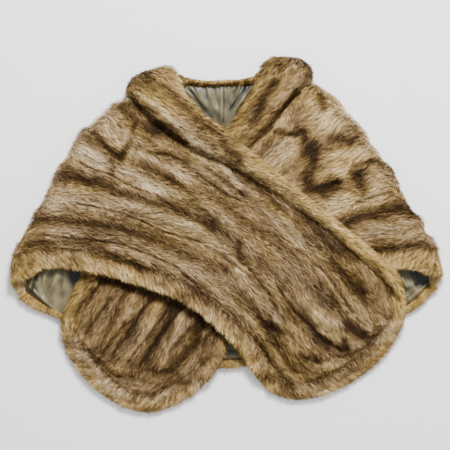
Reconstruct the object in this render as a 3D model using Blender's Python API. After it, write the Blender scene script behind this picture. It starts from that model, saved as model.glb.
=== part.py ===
"""Mink stole with a shawl collar, laid flat on a surface and buttoned over, seen from above.

The back panel lies fur side down with its satin lining up. Both fronts wrap round the side folds and lie on it
fur side up, the right front over the left one. Lengths are in millimetres until the meshes are made, x runs to
the right as seen from above, y runs to the neck and z up from the surface.
"""

import bpy
import numpy as np

MM = 0.001

# Layers, from the surface up
BACK_THICK = 9.0
LINING_THICK = 1.2
REST_GAP = 0.3
REST_LEVEL = BACK_THICK + REST_GAP + LINING_THICK + 1.1
FRONT_THICK = 14.0
LAYER_GAP = 0.5
SEAM_GAP = 0.15
DROP_BEYOND_BACK = 27.0
DROP_BEYOND_FRONT = 36.0
LEVEL_PAST_EDGE = 7.0
END_GAP = 0.5
FOLD_END_GAP = 0.9
COLLAR_FOLD_GAP = 1.3

# Pelts and edges
PELT_SEAMS = (0.0, 0.0833, 0.3333, 0.5833, 0.7917, 1.0)
PELT_VALLEY = 4.0
EDGE_ROUND = 14.0
EDGE_LEFT = 0.24
COLLAR_SAMPLES = 9
BORDER_SAMPLES = 7
PANEL_SAMPLES = 25

# Side folds
FOLD_RADIUS_HEM = 20.0
FOLD_RADIUS_NECK = 15.0
FOLD_HEM_Y = -70.0
FOLD_NECK_Y = 230.0
FOLD_REACH = 90.0
FOLD_UNDER = 30.0
FOLD_ANGLES = (0.0, 0.0, 30.0, 60.0, 90.0)
FOLD_INSETS = (30.0, None, None, None, 0.0)
FOLD_STEPS = (0.06, 0.22, 0.45, 0.7, 1.0, 1.35, 1.7)

# The right front, from its side fold to its tip. Each row is one line across it:
# hem edge x, y; border seam x, y; collar seam x, y; front edge x, y
RIGHT_ROWS = (
    (-340, -79, -334, -35, -155, 222, -70, 244),
    (-310, -74, -310, -26, -147, 211, -66, 232),
    (-288, -56, -285, -23, -138, 198, -61, 220),
    (-237, -57, -237, -26, -116, 175, -47, 203),
    (-182, -68, -179, -38, -88, 153, -30, 186),
    (-127, -84, -116, -57, -50, 130, -3, 164),
    (-72, -106, -56, -81, 7, 104, 40, 129),
    (-25, -139, -3, -121, 77, 63, 97, 82),
    (14, -178, 38, -162, 139, 19, 156, 37),
    (41, -217, 66, -201, 190, -23, 207, -5),
    (66, -247, 88, -225, 226, -53, 245, -37),
    (103, -261, 113, -236, 244, -72, 265, -57),
    (147, -256, 141, -233, 254, -90, 277, -78),
    (187, -240, 172, -219, 258, -104, 282, -98),
    (223, -217, 202, -198, 259, -115, 283, -112),
    (254, -186, 229, -172, 260, -125, 282, -122),
    (273, -151, 250, -145, 259, -132, 279, -134),
)
# The same lines across the left front
LEFT_ROWS = (
    (340, -67, 332, -24, 135, 242, 49, 247),
    (317, -68, 310, -21, 121, 230, 44, 234),
    (295, -57, 288, -24, 105, 212, 38, 222),
    (238, -59, 232, -27, 86, 189, 25, 201),
    (179, -71, 172, -43, 63, 159, 8, 175),
    (124, -90, 114, -62, 28, 126, -19, 148),
    (72, -115, 60, -87, -11, 95, -49, 121),
    (33, -142, 16, -115, -58, 60, -89, 90),
    (9, -167, -14, -145, -103, 24, -130, 57),
    (-3, -195, -30, -176, -146, -15, -171, 20),
    (-20, -223, -45, -204, -179, -54, -202, -21),
    (-47, -250, -66, -226, -202, -89, -227, -62),
    (-85, -272, -94, -245, -219, -117, -244, -96),
    (-122, -281, -122, -253, -227, -132, -254, -118),
    (-163, -272, -154, -247, -230, -142, -259, -132),
    (-202, -247, -183, -226, -232, -150, -260, -143),
    (-232, -217, -207, -201, -232, -157, -260, -154),
)
# The border's corner past the last line: hem edge x, y; seam x, y
LEFT_CORNER = ((-251, -186, -223, -178),)

# Crests of the side folds from the border seam to the collar seam: x, y
RIGHT_CREST = ((-334, -35), (-321, -6), (-296, 42), (-271, 93), (-241, 143), (-213, 177), (-184, 203), (-155, 222))
LEFT_CREST = ((332, -24), (313, 6), (300, 31), (282, 60), (262, 97), (239, 132), (206, 177), (173, 214), (135, 242))
# Where the sheet runs under a fold, in degrees from +x: at the hem edge, at the border seam and halfway, at the collar
RIGHT_UNDER = (-52.0, -50.0, -30.0, -54.0)
LEFT_UNDER = (-119.0, -122.0, -150.0, -137.0)

# Collar tops beyond the fold line: collar seam x, y; free edge x, y
RIGHT_COLLAR_TOP = ((-138, 253, -97, 266), (-152, 239, -79, 258))
LEFT_COLLAR_TOP = ((114, 279, 79, 281), (132, 261, 57, 267))
# Collar heights, starting at the top end and then one for each line across
RIGHT_COLLAR_HEIGHTS = (9, 22, 29, 32, 33, 32, 29, 25, 21, 18, 17, 16, 16, 16, 16, 16, 15, 15, 14)
LEFT_COLLAR_HEIGHTS = (9, 22, 29, 31, 31, 27, 21, 15, 14, 14, 14, 14, 14, 14, 14, 14, 14, 14, 14)

# The back's hem from left to right: hem edge x, y; border seam x, y
BACK_HEM = (
    (-321, -103, -315, -58),
    (-299, -120, -289, -81),
    (-269, -132, -258, -98),
    (-197, -162, -184, -129),
    (-119, -189, -110, -155),
    (-33, -209, -32, -174),
    (30, -209, 29, -174),
    (116, -186, 107, -152),
    (194, -159, 182, -126),
    (258, -138, 246, -104),
    (299, -118, 283, -85),
    (325, -93, 316, -50),
)
# The back's neck and shoulders from left to right, and the fur roll along the neck
SHOULDER_LEFT = ((-137, 199), (-128, 215), (-108, 236), (-76, 240), (-66, 228.5))
SHOULDER_RIGHT = ((46, 228.5), (60, 243), (98, 249), (112, 240), (117, 228))
NECK_ROLL = ((-62, 236), (-40, 234.5), (-8, 234.5), (22, 236), (43, 240))
NECK_ROLL_WIDE = 12.0
NECK_ROLL_HIGH = 16.0

# Height across the back border, from its seam (0) to its edge (1)
BORDER_TOP = ((0.0, 9.0), (0.3, 9.0), (0.6, 9.0), (0.68, 10.7), (0.82, 11.3), (0.94, 9.5), (1.0, 6.5))
BORDER_BASE = ((0.0, 0.0), (0.8, 0.0), (0.93, 0.8), (1.0, 3.5))
LINING_END = 0.56

# Creases of the lining where it lies open: x, y, direction in degrees, length, width and height
CREASES = (
    (-6, 196, 92, 70, 5, 2.4),
    (-38, 214, 118, 34, 6, 1.6),
    (-22, 208, 108, 40, 5, 1.4),
    (16, 210, 74, 40, 5, 1.5),
    (30, 216, 60, 34, 6, 1.6),
    (-300, -78, 70, 44, 7, 3.0),
    (-286, -84, 64, 44, 6, 2.4),
    (-262, -88, 48, 40, 8, 2.2),
    (290, -84, 150, 46, 6, 2.6),
    (276, -98, 146, 46, 6, 2.0),
)


def through(rows, at):
    """Points of the smooth curve through the rows, at positions counted in rows."""
    rows = np.asarray(rows, float)
    at = np.clip(np.asarray(at, float), 0, len(rows) - 1)
    place = np.minimum(at.astype(int), len(rows) - 2)
    share = (at - place)[..., None]
    padded = np.vstack([2 * rows[0] - rows[1], rows, 2 * rows[-1] - rows[-2]])
    before, here, there, after = (padded[place + step] for step in range(4))
    slope = there - before
    bend = 2 * before - 5 * here + 4 * there - after
    twist = 3 * (here - there) + after - before
    return here + 0.5 * share * (slope + share * (bend + share * twist))


def by_length(rows, share):
    """Points of the smooth curve through the rows at shares of its length."""
    dense = through(rows, np.linspace(0, len(rows) - 1, 400))
    gone = np.concatenate([[0.0], np.cumsum(np.linalg.norm(np.diff(dense, axis=0), axis=1))])
    return np.stack([np.interp(share, gone / gone[-1], dense[:, axis]) for axis in (0, 1)], -1)


def smooth(share):
    share = np.clip(share, 0, 1)
    return share * share * (3 - 2 * share)


def rounded(distance, reach):
    """A quarter round: 0 at the edge and 1 from reach inwards."""
    return np.sqrt(1 - (1 - np.clip(distance / reach, 0, 1)) ** 2)


def to_line(points, line):
    """Distance of each plan point to a polyline, and the place of the nearest point, counted in its corners."""
    start, run = line[:-1], np.diff(line, axis=0)
    away = points[..., None, :] - start
    share = np.clip((away * run).sum(-1) / np.maximum((run * run).sum(-1), 1e-9), 0, 1)
    distance = np.linalg.norm(away - share[..., None] * run, axis=-1)
    nearest = distance.argmin(-1)[..., None]
    place = nearest[..., 0] + np.take_along_axis(share, nearest, -1)[..., 0]
    return np.take_along_axis(distance, nearest, -1)[..., 0], place


def inside_by(points, outline):
    """Distance of each plan point to a closed outline, positive inside."""
    closed = np.vstack([outline, outline[:1]])
    distance, _ = to_line(points, closed)
    x, y = points[..., 0, None], points[..., 1, None]
    x0, y0, x1, y1 = closed[:-1, 0], closed[:-1, 1], closed[1:, 0], closed[1:, 1]
    crosses = (y0 > y) != (y1 > y)
    reach = x0 + (y - y0) * (x1 - x0) / np.where(y1 == y0, 1e-9, y1 - y0)
    within = (crosses & (x < reach)).sum(-1) % 2 == 1
    return np.where(within, distance, -distance)


def fold_radius(y):
    return np.interp(y, (FOLD_HEM_Y, FOLD_NECK_Y), (FOLD_RADIUS_HEM, FOLD_RADIUS_NECK))


def plan_angle(degrees):
    return np.stack([np.cos(np.radians(degrees)), np.sin(np.radians(degrees))], -1)


class Back:
    """Plan outline of the back, which holds up what lies on it."""

    def __init__(self):
        places = np.linspace(0, len(BACK_HEM) - 1, 34)
        self.hem = through(BACK_HEM, places)
        self.left = RIGHT.under_line(FOLD_UNDER + FOLD_END_GAP)
        self.right = LEFT.under_line(FOLD_UNDER + FOLD_END_GAP)
        self.top = np.vstack([self.left, SHOULDER_LEFT[1:], SHOULDER_RIGHT[:-1], self.right[::-1]])
        self.outline = np.vstack([self.hem[:, :2], self.right, self.top[::-1]])

    def level(self, points):
        """Height of the surface that the back offers: level on it, down to the floor beyond it."""
        return REST_LEVEL * smooth((inside_by(points, self.outline) + LEVEL_PAST_EDGE) / DROP_BEYOND_BACK + 1)


class Front:
    """One front in plan: its lines across, its side fold and the height of its layer."""

    def __init__(self, rows, crest, under, collar_top, collar_heights, corner=()):
        self.rows = np.asarray(rows, float)
        self.crest = crest
        self.under = under
        self.collar = np.vstack([np.asarray(collar_top, float), self.rows[:, 4:8]])
        self.collar_heights = np.asarray(collar_heights, float)
        edge = np.vstack([self.rows[:, 0:4], np.asarray(corner, float).reshape(-1, 4)])
        self.border = np.vstack([edge, self.rows[-1, [6, 7, 4, 5]]])
        self.last = len(self.rows) - 1
        self.support = None

    def across(self, place, share):
        """Plan points of the panel between its border seam (share 0) and its collar seam (1)."""
        seam = through(self.border, place)[..., 2:4]
        neck = through(self.collar, place + 2)[..., 0:2]
        flat = seam + (neck - seam) * share[..., None]
        chord = self.rows[0, 2:4] + (self.rows[0, 4:6] - self.rows[0, 2:4]) * share[..., None]
        bulge = by_length(self.crest, share) - chord
        return flat + bulge * np.exp(-((place / 2.4) ** 2))[..., None]

    def border_across(self, place, share):
        """Plan points of the hem border between its free edge (0) and its seam (1)."""
        rail = through(self.border, place)
        return rail[..., 0:2] + (rail[..., 2:4] - rail[..., 0:2]) * share[..., None]

    def under_way(self, share, border=False):
        """Direction in plan of the sheet under the fold."""
        edge, seam, middle, neck = self.under
        if border:
            return plan_angle(edge + (seam - edge) * share)
        ends = seam + (neck - seam) * share
        return plan_angle(ends + (middle - 0.5 * (seam + neck)) * 4 * share * (1 - share))

    def under_line(self, inset):
        """Plan line where the sheet under the fold ends, from the hem's border seam up to the collar seam."""
        share = np.linspace(0, 1, PANEL_SAMPLES)
        inset = np.interp(share, np.linspace(0, 1, np.size(inset)), np.ravel(inset))
        return by_length(self.crest, share) + inset[:, None] * self.under_way(share)

    def outline(self):
        """Plan outline of the part on top: hem border, then the free edge of the collar back to the fold."""
        hem = through(self.border, np.linspace(0, len(self.border) - 1, 60))[:, 0:2]
        edge = through(self.rows, np.linspace(self.last, 0, 50))[:, 6:8]
        fold = by_length(self.crest, np.linspace(1, 0, 16))
        return np.vstack([hem, edge, fold])

    def envelope(self, points):
        """Height over which another layer clears this front, going down to the back beyond its edges."""
        base = BACK.level(points)
        distance, _ = to_line(points, by_length(self.crest, np.linspace(0, 1, 24)))
        radius = fold_radius(points[..., 1])
        blend = smooth((distance - radius) / FOLD_REACH)
        top = 2 * radius * (1 - blend) + (base + FRONT_THICK) * blend
        middle = through(self.collar, np.linspace(0, len(self.collar) - 1, 60))
        off, place = to_line(points, 0.5 * (middle[:, 0:2] + middle[:, 2:4]))
        high = np.interp(place / 59 * (len(self.collar) - 1), np.arange(len(self.collar)), self.collar_heights)
        extra = (high - FRONT_THICK).clip(0) * smooth((60 - off) / 30)
        share = smooth((inside_by(points, self.outline()) + LEVEL_PAST_EDGE) / DROP_BEYOND_FRONT + 1)
        return base + (np.maximum(top, base + FRONT_THICK + extra) - base) * share

    def resting_on(self, points):
        """Height of this front's underside where it lies."""
        level = BACK.level(points)
        if self.support is not None:
            level = np.maximum(level, self.support.envelope(points) + LAYER_GAP)
        return level

    def fold_rings(self, crest, way_up, way_under):
        """Outer points and normals of the rings under the fold, shaped (rings, points, 3), from the inner end out."""
        rings, normals, thick = [], [], []
        radius = fold_radius(crest[:, 1])
        for angle, inset in zip(FOLD_ANGLES, FOLD_INSETS):
            sine, cosine = np.sin(np.radians(angle)), np.cos(np.radians(angle))
            reach = np.full(len(crest), inset) if inset is not None else radius * (1 - sine)
            plan = crest + way_under * reach[:, None]
            rings.append(np.column_stack([plan, radius * (1 - cosine)]))
            way = self.turned(way_under, way_up, angle)
            normals.append(np.column_stack([-way * sine, np.full(len(crest), -cosine)]))
            thick.append(np.full(len(crest), BACK_THICK + (FRONT_THICK - BACK_THICK) * angle / 180))
        return rings, normals, thick

    def turned(self, way_under, way_up, angle):
        """Direction across the fold, which turns from the lower sheet's to the upper one's."""
        share = smooth((np.ravel(angle) - 30) / 120)[:, None]
        way = way_under * (1 - share) + way_up * share
        return way / np.linalg.norm(way, axis=1)[:, None]

    def top_ring(self, plan, crest, first_way, way_under):
        """Outer points, normals and thickness of one ring above the fold."""
        run = plan - crest
        far = np.linalg.norm(run, axis=1)
        way = np.where(far[:, None] > 1.0, run / np.maximum(far, 1e-6)[:, None], first_way)
        radius = fold_radius(crest[:, 1])
        sine = np.clip(1 - far / radius, 0, 1)
        way = self.turned(way_under, way, 180 - np.degrees(np.arcsin(sine)))
        cosine = np.sqrt(1 - sine**2)
        thick = FRONT_THICK - (FRONT_THICK - BACK_THICK) * np.arcsin(sine) / np.pi
        blend = smooth((far - radius) / FOLD_REACH)
        lying = self.resting_on(plan) + FRONT_THICK
        height = np.where(far < radius, radius * (1 + cosine), 2 * radius * (1 - blend) + lying * blend)
        if self.support is not None:
            height = np.maximum(height, lying * smooth(far / radius - 1.0))
        outer = np.column_stack([plan, height])
        return outer, np.column_stack([-way * sine[:, None], cosine]), thick

    def sheet(self, places, share, plan_of, border):
        """Rings of outer points, normals and thickness of the panel or of the border."""
        crest = plan_of(np.zeros(len(share)), share)
        first_way = plan_of(np.full(len(share), 0.5), share) - crest
        first_way /= np.linalg.norm(first_way, axis=1)[:, None]
        way_under = self.under_way(share, border)
        rings, normals, thick = self.fold_rings(crest, first_way, way_under)
        for place in places:
            plan = plan_of(np.full(len(share), place), share)
            outer, normal, deep = self.top_ring(plan, crest, first_way, way_under)
            rings.append(outer)
            normals.append(normal)
            thick.append(deep)
        return np.array(rings), np.array(normals), np.array(thick)


RIGHT = Front(RIGHT_ROWS, RIGHT_CREST, RIGHT_UNDER, RIGHT_COLLAR_TOP, RIGHT_COLLAR_HEIGHTS)
LEFT = Front(LEFT_ROWS, LEFT_CREST, LEFT_UNDER, LEFT_COLLAR_TOP, LEFT_COLLAR_HEIGHTS, LEFT_CORNER)
BACK = Back()
RIGHT.support = LEFT


def material(name, colour, roughness, sheen):
    made = bpy.data.materials.new(name)
    made.use_nodes = True
    shader = made.node_tree.nodes["Principled BSDF"]
    shader.inputs["Base Color"].default_value = (*colour, 1.0)
    shader.inputs["Roughness"].default_value = roughness
    shader.inputs["Sheen Weight"].default_value = sheen
    made.diffuse_color = (*colour, 1.0)
    return made


def add_solid(name, points, faces, finish):
    mesh = bpy.data.meshes.new(name)
    mesh.from_pydata((np.asarray(points) * MM).tolist(), [], faces)
    mesh.validate()
    mesh.materials.append(finish)
    thing = bpy.data.objects.new(name, mesh)
    bpy.context.scene.collection.objects.link(thing)
    return thing


def cap(top, low):
    """Triangles between two point rows of one ring end, each low step facing several top steps."""
    many = (len(top) - 1) // (len(low) - 1)
    half = many // 2
    faces = []
    for step in range(len(low) - 1):
        first = step * many
        faces += [(top[k], top[k + 1], low[step]) for k in range(first, first + half)]
        faces.append((top[first + half], low[step + 1], low[step]))
        faces += [(top[k], top[k + 1], low[step + 1]) for k in range(first + half, first + many)]
    return faces


def loft(name, tops, lows, finish):
    """Closed solid from rings of top points and rings of low points, both shaped (rings, points, 3)."""
    rings, wide, under = len(tops), tops.shape[1], lows.shape[1]
    points = np.concatenate([np.concatenate([top, low[::-1]]) for top, low in zip(tops, lows)])
    size = wide + under
    faces = []
    for ring in range(rings - 1):
        here, there = ring * size, (ring + 1) * size
        for step in range(size):
            after = (step + 1) % size
            corners = (here + step, there + step, there + after, here + after)
            turn = 1 if step == size - 1 else 0
            faces.append(tuple(corners[(k + turn) % 4] for k in (0, 1, 2)))
            faces.append(tuple(corners[(k + turn) % 4] for k in (0, 2, 3)))
    first_top = list(range(wide))
    first_low = list(range(size - 1, wide - 1, -1))
    start = [tuple(face) for face in cap(first_top, first_low)]
    shift = (rings - 1) * size
    end = [tuple(shift + corner for corner in face[::-1]) for face in cap(first_top, first_low)]
    area = signed_volume(points, faces + start + end)
    if area < 0:
        faces, start, end = ([tuple(face[::-1]) for face in some] for some in (faces, start, end))
    return add_solid(name, points, faces + start + end, finish)


def signed_volume(points, faces):
    total = 0.0
    for face in faces:
        for second, third in zip(face[1:-1], face[2:]):
            total += np.dot(points[face[0]], np.cross(points[second], points[third]))
    return total


def pelt_drop(share):
    """How far the fur sinks between the pelt rows of a panel, which meet at its seams."""
    row = np.interp(share, PELT_SEAMS, np.arange(len(PELT_SEAMS)))
    return PELT_VALLEY * (1 - np.abs(np.sin(np.pi * row)) ** 0.7)


def front_panel(name, front, finish):
    places = np.concatenate([FOLD_STEPS, np.arange(2.0, front.last + 0.01, 0.5)])
    shares = []
    for count in (PANEL_SAMPLES, (PANEL_SAMPLES + 1) // 2):
        shares.append(np.linspace(0, 1, count))
    solid = []
    for share in shares:
        plan = lambda place, across: front.across(place, across)
        outer, normal, thick = front.sheet(places, share, plan, False)
        wide = np.linalg.norm(np.diff(outer[:, :, :2], axis=1), axis=2).sum(axis=1)
        slip = (SEAM_GAP / wide)[:, None] * (1 - 2 * share)
        steps = np.gradient(outer, axis=1) * ((len(share) - 1) * slip)[:, :, None]
        solid.append((outer + steps, normal, thick))
    top = solid[0][0] - solid[0][1] * pelt_drop(shares[0])[None, :, None]
    low = solid[1][0] - solid[1][1] * solid[1][2][:, :, None]
    return loft(name, top, low, finish)


def front_border(name, front, finish):
    last = len(front.border) - 1
    places = np.concatenate([FOLD_STEPS, np.arange(2.0, last + 0.01, 0.5)])
    solid = []
    for count in (BORDER_SAMPLES, (BORDER_SAMPLES + 1) // 2):
        share = np.linspace(0, 1, count) ** 1.3
        plan = lambda place, across: front.border_across(place, across)
        outer, normal, thick = front.sheet(places, share, plan, True)
        span = outer[:, -1] - outer[:, 0]
        wide = np.linalg.norm(span, axis=1)
        outer = outer - (span / wide[:, None] * SEAM_GAP)[:, None] * share[None, :, None]
        tip = outer[-1] - outer[-2]
        outer[-1] -= tip / np.linalg.norm(tip, axis=1)[:, None] * SEAM_GAP
        solid.append((outer, normal, thick, share[None] * wide[:, None]))
    left = 1 - rounded(solid[0][3], EDGE_ROUND) * (1 - EDGE_LEFT) - EDGE_LEFT
    seam = PELT_VALLEY * (1 - rounded(solid[0][3][:, -1:] - solid[0][3], 10.0))
    drop = np.maximum(0.72 * left * solid[0][2], seam)
    top = solid[0][0] - solid[0][1] * drop[:, :, None]
    lift = 0.25 * (1 - rounded(solid[1][3], EDGE_ROUND)) * solid[1][2]
    low = solid[1][0] - solid[1][1] * (solid[1][2] - lift)[:, :, None]
    return loft(name, top, low, finish)


def collar(name, front, finish):
    last = len(front.collar) - 1
    places = np.concatenate([np.arange(0, 3, 0.5), 2 + np.array(FOLD_STEPS), np.arange(4.0, last + 0.01, 0.5)])
    places = np.unique(np.concatenate([[0.0, 0.25], places]))
    rail = through(front.collar, places)
    high = np.interp(places, np.arange(last + 1), front.collar_heights)
    solid = []
    for count in (COLLAR_SAMPLES, (COLLAR_SAMPLES + 1) // 2):
        share = np.linspace(0, 1, count)
        span = rail[:, 2:4] - rail[:, 0:2]
        wide = np.linalg.norm(span, axis=1)
        gap = SEAM_GAP + COLLAR_FOLD_GAP * smooth(1.6 - np.abs(places - 2.6))
        start = rail[:, 0:2] + span / wide[:, None] * gap[:, None]
        plan = start[:, None] + (rail[:, 2:4] - start)[:, None] * share[None, :, None]
        tip = plan[-1] - plan[-2]
        plan[-1] -= tip / np.linalg.norm(tip, axis=1)[:, None] * SEAM_GAP
        solid.append((plan, front.resting_on(plan), share[None] * wide[:, None], wide))
    bump = np.sin(np.pi * (0.12 + 0.88 * np.linspace(0, 1, COLLAR_SAMPLES))) ** 0.6
    top_z = solid[0][1] + high[:, None] * np.maximum(bump, EDGE_LEFT)[None]
    lift = 0.2 * high[:, None] * (1 - rounded(solid[1][3][:, None] - solid[1][2], EDGE_ROUND))
    low_z = solid[1][1] + lift
    top = np.concatenate([solid[0][0], top_z[..., None]], -1)
    low = np.concatenate([solid[1][0], low_z[..., None]], -1)
    return loft(name, top, low, finish)


def back_body(finish):
    seam = through(BACK_HEM, np.linspace(0, len(BACK_HEM) - 1, 34))[:, 2:4]
    edge = through(BACK_HEM, np.linspace(0, len(BACK_HEM) - 1, 34))[:, 0:2]
    inward = (seam - edge) / np.linalg.norm(seam - edge, axis=1)[:, None]
    seam = seam + inward * REST_GAP
    top = BACK.top
    columns = np.unique(np.concatenate([seam[:, 0], top[:, 0]]))
    columns = columns[(columns > max(seam[0, 0], top[0, 0]) + 1) & (columns < min(seam[-1, 0], top[-1, 0]) - 1)]
    low_y = np.interp(columns, seam[:, 0], seam[:, 1])
    high_y = np.interp(columns, top[:, 0], top[:, 1])
    ends = np.stack([np.column_stack([columns, low_y]), np.column_stack([columns, high_y])], 1)
    tops = np.concatenate([ends, np.full((*ends.shape[:2], 1), BACK_THICK)], -1)
    lows = np.concatenate([ends, np.zeros((*ends.shape[:2], 1))], -1)
    return loft("back_body", tops, lows, finish)


def back_border(finish):
    rail = through(BACK_HEM, np.linspace(0, len(BACK_HEM) - 1, 34))
    solid = []
    for table, shares in ((BORDER_TOP, [row[0] for row in BORDER_TOP]), (BORDER_BASE, [row[0] for row in BORDER_BASE])):
        shares = np.array(shares)
        plan = rail[:, None, 2:4] + (rail[:, 0:2] - rail[:, 2:4])[:, None] * shares[None, :, None]
        for end, step in ((0, 1), (-1, -2)):
            way = plan[step] - plan[end]
            plan[end] += way / np.linalg.norm(way, axis=1)[:, None] * END_GAP
        high = np.interp(shares, *np.array(table).T)
        solid.append(np.concatenate([plan, np.broadcast_to(high[None, :, None], (*plan.shape[:2], 1))], -1))
    return loft("back_hem_border", solid[0], solid[1], finish)


def crease_height(points):
    """Height of the lining's creases where no front lies on it."""
    total = np.zeros(points.shape[:-1])
    for x, y, turn, long, wide, high in CREASES:
        along = plan_angle(turn)
        off = points - np.array([x, y])
        run = off @ along
        side = off @ np.array([-along[1], along[0]])
        total += high * np.exp(-((side / wide) ** 2) - (run / (0.5 * long)) ** 4)
    open_air = np.minimum(-inside_by(points, RIGHT.outline()), -inside_by(points, LEFT.outline()))
    return total * smooth((open_air - 2.0) / 14.0)


def back_lining(finish):
    rail = through(BACK_HEM, np.linspace(0, len(BACK_HEM) - 1, 60))
    low = rail[:, 2:4] + (rail[:, 0:2] - rail[:, 2:4]) * LINING_END
    inset = (FOLD_RADIUS_HEM + 2.0, FOLD_UNDER + 3.0)
    left, right = RIGHT.under_line(inset), LEFT.under_line(inset)
    top = np.vstack([left, SHOULDER_LEFT[1:], SHOULDER_RIGHT[:-1], right[::-1]])
    columns = np.concatenate([
        np.linspace(-312, -226, 15), np.linspace(-210, -80, 7), np.linspace(-66, 46, 17),
        np.linspace(62, 240, 9), np.linspace(250, 314, 11),
    ])
    low_y = np.interp(columns, low[:, 0], low[:, 1])
    high_y = np.interp(columns, top[:, 0], top[:, 1])
    share = np.concatenate([np.linspace(0, 0.3, 10), np.linspace(0.4, 0.7, 4), np.linspace(0.76, 1, 9)])
    coarse = np.array([0.0, 1.0])
    solid = []
    for shares in (share, coarse):
        y = low_y[:, None] + (high_y - low_y)[:, None] * shares
        solid.append(np.stack([np.broadcast_to(columns[:, None], y.shape), y], -1))
    base = BACK_THICK + REST_GAP
    top_z = base + LINING_THICK + crease_height(solid[0])
    tops = np.concatenate([solid[0], top_z[..., None]], -1)
    lows = np.concatenate([solid[1], np.full((*solid[1].shape[:2], 1), base)], -1)
    return loft("back_lining", tops, lows, finish)


def back_collar(finish):
    line = through(NECK_ROLL, np.linspace(0, len(NECK_ROLL) - 1, 17))
    across = np.gradient(line, axis=0)
    across = np.column_stack([-across[:, 1], across[:, 0]]) / np.linalg.norm(across, axis=1)[:, None]
    shares = np.array([-1.0, -0.9, -0.55, 0.0, 0.55, 0.9, 1.0])
    heights = np.array([0.35, 0.66, 0.93, 1.0, 0.93, 0.66, 0.35]) * NECK_ROLL_HIGH
    low_shares, low_heights = np.array([-1.0, -0.7, 0.7, 1.0]), np.array([3.5, 0.0, 0.0, 3.5])
    solid = []
    for spots, high in ((shares, heights), (low_shares, low_heights)):
        plan = line[:, None] + across[:, None] * (0.5 * NECK_ROLL_WIDE - REST_GAP) * spots[None, :, None]
        solid.append(np.concatenate([plan, np.broadcast_to(high[None, :, None], (*plan.shape[:2], 1))], -1))
    return loft("back_collar", solid[0], solid[1], finish)


def main():
    for thing in list(bpy.data.objects):
        bpy.data.objects.remove(thing, do_unlink=True)
    fur = material("mink_brown", (0.30, 0.19, 0.11), 0.85, 0.4)
    border_fur = material("border_gold", (0.45, 0.31, 0.17), 0.85, 0.4)
    satin = material("satin_lining", (0.50, 0.52, 0.44), 0.45, 0.2)
    back_body(fur)
    back_border(border_fur)
    back_lining(satin)
    back_collar(fur)
    front_panel("left_front", LEFT, fur)
    front_border("left_hem_border", LEFT, border_fur)
    collar("left_collar", LEFT, fur)
    front_panel("right_front", RIGHT, fur)
    front_border("right_hem_border", RIGHT, border_fur)
    collar("right_collar", RIGHT, fur)


main()
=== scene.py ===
"""Mink stole with a shawl collar, laid flat and seen from above, in fur, leather and satin.

The back lies fur side down with its satin lining up. Both fronts wrap round the side folds and lie on it
fur side up, the right front over the left one. Each panel is a skin with its dense underfur, and the long
hair grows on it as narrow blades. The tables are in millimetres with x to the right as seen from above, y to
the neck and z up. The fur's furrows are placed by the photograph's pixels, which on_plan turns into
millimetres.
"""

from __future__ import annotations

import logging
from dataclasses import dataclass
from enum import Enum
from typing import Callable, Sequence

import bpy
import numpy as np
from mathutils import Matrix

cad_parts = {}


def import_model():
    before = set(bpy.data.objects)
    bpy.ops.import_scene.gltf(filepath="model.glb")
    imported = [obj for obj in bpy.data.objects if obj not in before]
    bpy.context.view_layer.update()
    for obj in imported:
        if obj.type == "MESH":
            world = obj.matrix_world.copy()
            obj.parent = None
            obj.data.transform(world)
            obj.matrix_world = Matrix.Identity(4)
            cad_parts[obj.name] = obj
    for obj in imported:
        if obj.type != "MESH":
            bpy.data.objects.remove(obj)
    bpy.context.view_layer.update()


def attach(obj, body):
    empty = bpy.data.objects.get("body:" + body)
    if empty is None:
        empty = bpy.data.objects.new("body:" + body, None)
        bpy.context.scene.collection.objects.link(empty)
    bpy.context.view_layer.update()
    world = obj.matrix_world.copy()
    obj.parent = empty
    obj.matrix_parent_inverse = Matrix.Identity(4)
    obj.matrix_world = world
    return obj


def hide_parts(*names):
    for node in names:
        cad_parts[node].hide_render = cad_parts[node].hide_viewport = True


Array = np.ndarray
Rows = Sequence[Sequence[float]]
Socket = bpy.types.NodeSocket
Mesh = bpy.types.Mesh
Colour = tuple[float, float, float]
Inputs = dict[str | int, object]
LOG = logging.getLogger("mink_stole")
MM = 0.001
BODY = "root"
TONE = "tone"
HUE = "hue"
LIE_MAP = "Lie"
HAIR_MAP = "OFBake"

# Scale of the photograph: millimetres a pixel, and the pixel above the part's origin
MM_A_PIXEL = 1.567
ORIGIN_PIXEL = (226.0, 233.5)
PHOTO_MIDDLE = (225.0, 225.0)
PHOTO_PIXELS = 450

# Layers, from the surface up, and how they go down beyond the edge of what they lie on
BACK_THICK = 9.0
LINING_THICK = 1.2
REST_GAP = 0.3
REST_LEVEL = BACK_THICK + REST_GAP + LINING_THICK + 1.1
FRONT_THICK = 14.0
LAYER_GAP = 0.5
DROP_BEYOND_BACK = 27.0
DROP_BEYOND_FRONT = 36.0
LEVEL_PAST_EDGE = 7.0

# Pelts: seams between their rows as shares of the panel's width, and the depth and sharpness of the valleys
PELT_SEAMS = (0.0, 0.0833, 0.3333, 0.5833, 0.7917, 1.0)
PELT_VALLEY = 4.0
PELT_ARCH = 0.7
PANEL_WIDE = 250.0
EDGE_ROUND = 14.0
EDGE_LEFT = 0.24

# Side folds, and how far in rows their crest bends the lines across
FOLD_RADIUS_HEM = 20.0
FOLD_RADIUS_NECK = 15.0
FOLD_HEM_Y = -70.0
FOLD_NECK_Y = 230.0
FOLD_REACH = 90.0
FOLD_UNDER = 30.0
FOLD_OVERLAP = 3.5
FOLD_END_GAP = 0.9
CREST_ROWS = 2.4

# Directions across the fold turn from this angle on over that many degrees, and its rings under the crest
# end at the last angle
FOLD_TURN_FROM = 30.0
FOLD_TURN_OVER = 120.0
FOLD_LAST_ANGLE = 82.0

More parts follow.
